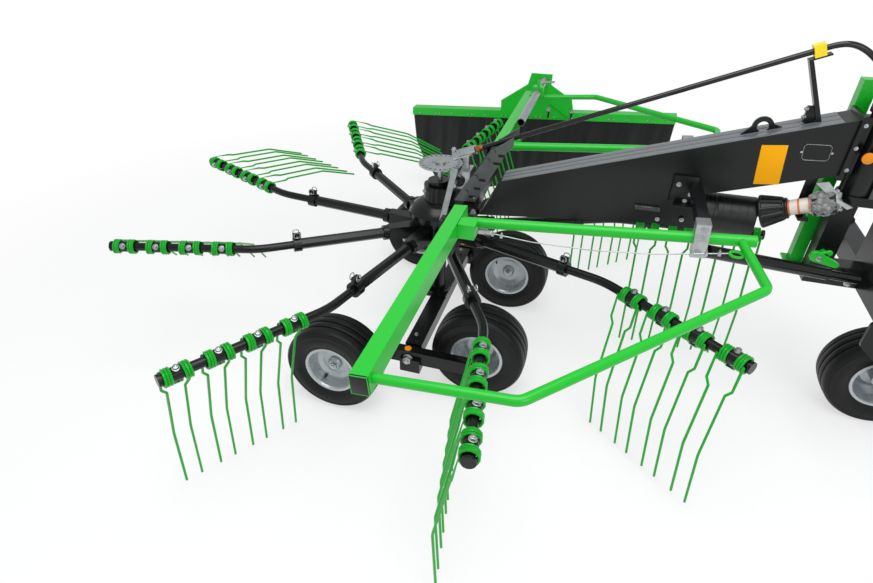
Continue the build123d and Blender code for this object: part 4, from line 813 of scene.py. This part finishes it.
latch = bmesh.new()
hull(latch, lobe(1.463, 0.734, 0.0205, -0.074, -0.088) + lobe(1.536, 0.709, 0.0105, -0.076, -0.086))
hull(latch, lobe(1.476, 0.736, 0.0130, -0.070, -0.080) + lobe(1.503, 0.750, 0.0105, -0.070, -0.080))
rod(latch, facing((1.492, -0.0400, 0.736), (0, -1, 0)), 0.0110, 0.0, 0.0400, 20)
piece(tidy(latch), "latch_lever", "headstock", green_enamel)
latch_bolt = bmesh.new()
hexagon(latch_bolt, (1.474, -0.0880, 0.729), (0, -1, 0), 0.0080, 0.0040)
piece(tidy(latch_bolt), "latch_bolt", "headstock", zinc)
tongue = bmesh.new()
for outline in (((1.371, 1.007), (1.407, 1.016), (1.455, 0.970), (1.449, 0.960), (1.412, 0.974)),
                ((1.437, 0.966), (1.462, 0.955), (1.508, 0.934), (1.494, 0.924), (1.442, 0.953))):
    hull(tongue, [(x, y, z) for x, z in outline for y in (-0.0712, -0.0780)])
piece(tidy(tongue), "shaft_tongue", "chassis", zinc)
fitting = bmesh.new()
line = facing((0.1620, 0.0, 0.9650), (0.925, 0, 0.380))
rod(fitting, line, 0.0135, 0.0, 0.0160, 6, 0.0015)
rod(fitting, line, 0.0118, 0.0160, 0.0300, 20, 0.0015)
piece(tidy(fitting), "line_fitting", "chassis", copper)

# %% [markdown]
# The slots of the height spindle's disc and of the slotted plates are backed with thin black pieces,
# painted shade for the dark behind them, and six dark dots on the disc are painted shade in its holes.
# A cap closes the head bracket, and a hollow bolt holds the swivel fitting. A bracket with a lip
# carries the guard arm on the near side of the beam, and a crank clamps the curtain's boom.

# %% Small parts of the beam and the spindle
shade_and_cap = bmesh.new()
disc = Matrix.Translation((0.009, 0, 0))
# painted shade: a black sheet under the disc's slots
rod(shade_and_cap, disc, 0.0925, 0.8846, 0.8856, 48)
# painted shade: dark dots in the disc's six holes
for index in range(6):
    hole = Matrix.Rotation(radians(60.0 * index + 15.0), 4, "Z") @ Matrix.Translation((0.033, 0, 0.8895))
    rod(shade_and_cap, disc @ hole, 0.0034, 0.0, 0.0009, 16)
rod(shade_and_cap, facing((0.106, -0.0498, 0.835), (0, -1, 0)), 0.0225, 0.0, 0.0034, 32, 0.0010)
# painted shade: black blocks behind the slots of the slotted plates
for side in (-1, 1):
    for x, z in ((0.168, 0.782), (0.188, 0.822), (0.208, 0.862), (0.262, 0.940), (0.280, 0.974)):
        block(shade_and_cap, Matrix.Translation((x, side * 0.0640, z)), (0.0300, 0.0060, 0.0120), 0.0010)
piece(tidy(shade_and_cap), "spindle_slot_shade_and_cap", "chassis", black_plastic)
banjo = bmesh.new()
rod(banjo, Matrix.Translation((0.066, 0, 0.925)), 0.0080, 0.0, 0.0300, 20, 0.0012)
hexagon(banjo, (0.066, 0, 0.953), (0, 0, 1), 0.0085, 0.0)
piece(tidy(banjo), "line_banjo_bolt", "chassis", zinc)
holder = bmesh.new()
block(holder, Matrix.Translation((0.968, -0.0680, 0.9250)), (0.088, 0.0160, 0.105), 0.0050)
block(holder, Matrix.Translation((0.985, -0.0820, 0.8710)), (0.085, 0.0440, 0.0060), 0.0020)
block(holder, Matrix.Translation((1.300, 0.0, 1.2130)), (0.034, 0.0220, 0.055), 0.0025)
piece(tidy(holder), "arm_holder", "chassis", black_enamel)
coil_steps, coil_turns, coil_radius = 12, 14, 0.0080
spring = []
for step in range(coil_steps * coil_turns + 1):
    turn = 2 * pi * step / coil_steps
    spring.append((0.814 + 0.091 * step / (coil_steps * coil_turns), -0.0680 + coil_radius * cos(turn),
                   0.832 + coil_radius * sin(turn)))
piece(wires("beam_spring", [spring], 0.0021, 2), "beam_spring", "chassis", dark_steel)
crank = [[(0.228, 1.280, 0.869), (0.262, 1.280, 0.922), (0.274, 1.280, 0.932), (0.330, 1.280, 0.940)]]
piece(wires("boom_crank", crank, 0.0060, 3), "boom_crank", "guard_left", zinc)

# %% [markdown]
# The floor is a pale sheet, and a large soft lamp overhead with a weaker one beside the camera gives
# the even light of a studio. The world is white to the camera alone, and light grey to everything
# else, so that the colours stay as they are written. The floor is part white to the camera and to
# reflections near the machine, and all white far from it, which leaves a soft shadow.

# %% Floor and light
floor_mesh = bmesh.new()
bmesh.ops.create_grid(floor_mesh, x_segments=8, y_segments=8, size=30.0)
floor_data = bpy.data.meshes.new("floor")
floor_mesh.to_mesh(floor_data)
floor_mesh.free()
floor = bpy.data.objects.new("floor", floor_data)
bpy.context.scene.collection.objects.link(floor)
floor_finish, tree, shader, place = start("floor_finish", 0.0, 0.9)
shader.inputs["Base Color"].default_value = linear("FBFBFB")
rays = add(tree, "ShaderNodeLightPath")
reach = add(tree, "ShaderNodeVectorMath", {"operation": "LENGTH"}, {0: place})
far = add(tree, "ShaderNodeMapRange", {"From Min": 1.6, "From Max": 3.6, "To Min": 0.58},
          {"Value": reach.outputs["Value"]})
seen = add(tree, "ShaderNodeMath", {"operation": "MAXIMUM"},
           {0: rays.outputs["Is Camera Ray"], 1: rays.outputs["Is Glossy Ray"]})
faded = add(tree, "ShaderNodeMath", {"operation": "MULTIPLY"},
            {0: far.outputs["Result"], 1: seen.outputs["Value"]})
white = add(tree, "ShaderNodeEmission", {"Color": (1.0, 1.0, 1.0, 1.0), "Strength": 1.0})
sweep = add(tree, "ShaderNodeMixShader", {}, {0: faded.outputs["Value"], 1: shader.outputs[0],
                                              2: white.outputs[0]})
# seen from below, the sheet is clear, so that the underside of the machine can be looked at
under = add(tree, "ShaderNodeNewGeometry")
clear = add(tree, "ShaderNodeBsdfTransparent")
one_way = add(tree, "ShaderNodeMixShader", {}, {0: under.outputs["Backfacing"], 1: sweep.outputs[0],
                                                2: clear.outputs[0]})
tree.links.new(one_way.outputs[0], tree.nodes["Material Output"].inputs["Surface"])
floor_data.materials.append(floor_finish)

world = bpy.data.worlds.new("studio")
bpy.context.scene.world = world
world.use_nodes = True
tree = world.node_tree
background = tree.nodes["Background"]
background.inputs["Color"].default_value = linear("F2F4F6")
background.inputs["Strength"].default_value = 0.68
backdrop = add(tree, "ShaderNodeBackground", {"Color": (1.0, 1.0, 1.0, 1.0), "Strength": 1.0})
rays = add(tree, "ShaderNodeLightPath")
chosen = add(tree, "ShaderNodeMixShader", {}, {0: rays.outputs["Is Camera Ray"], 1: background.outputs[0],
                                               2: backdrop.outputs[0]})
tree.links.new(chosen.outputs[0], tree.nodes["World Output"].inputs["Surface"])
machine_middle = Vector((0.4, 0.1, 0.5))
for name, at, size, power in (("lamp_over", (0.6, -1.2, 4.2), 3.0, 105.0),
                              ("lamp_side", (3.2, -3.4, 2.6), 1.6, 26.0)):
    lamp = bpy.data.lights.new(name, "AREA")
    lamp.size = size
    lamp.energy = power
    holder = bpy.data.objects.new(name, lamp)
    aim = machine_middle - Vector(at)
    holder.location = at
    holder.rotation_euler = aim.to_track_quat("-Z", "Y").to_euler()
    bpy.context.scene.collection.objects.link(holder)
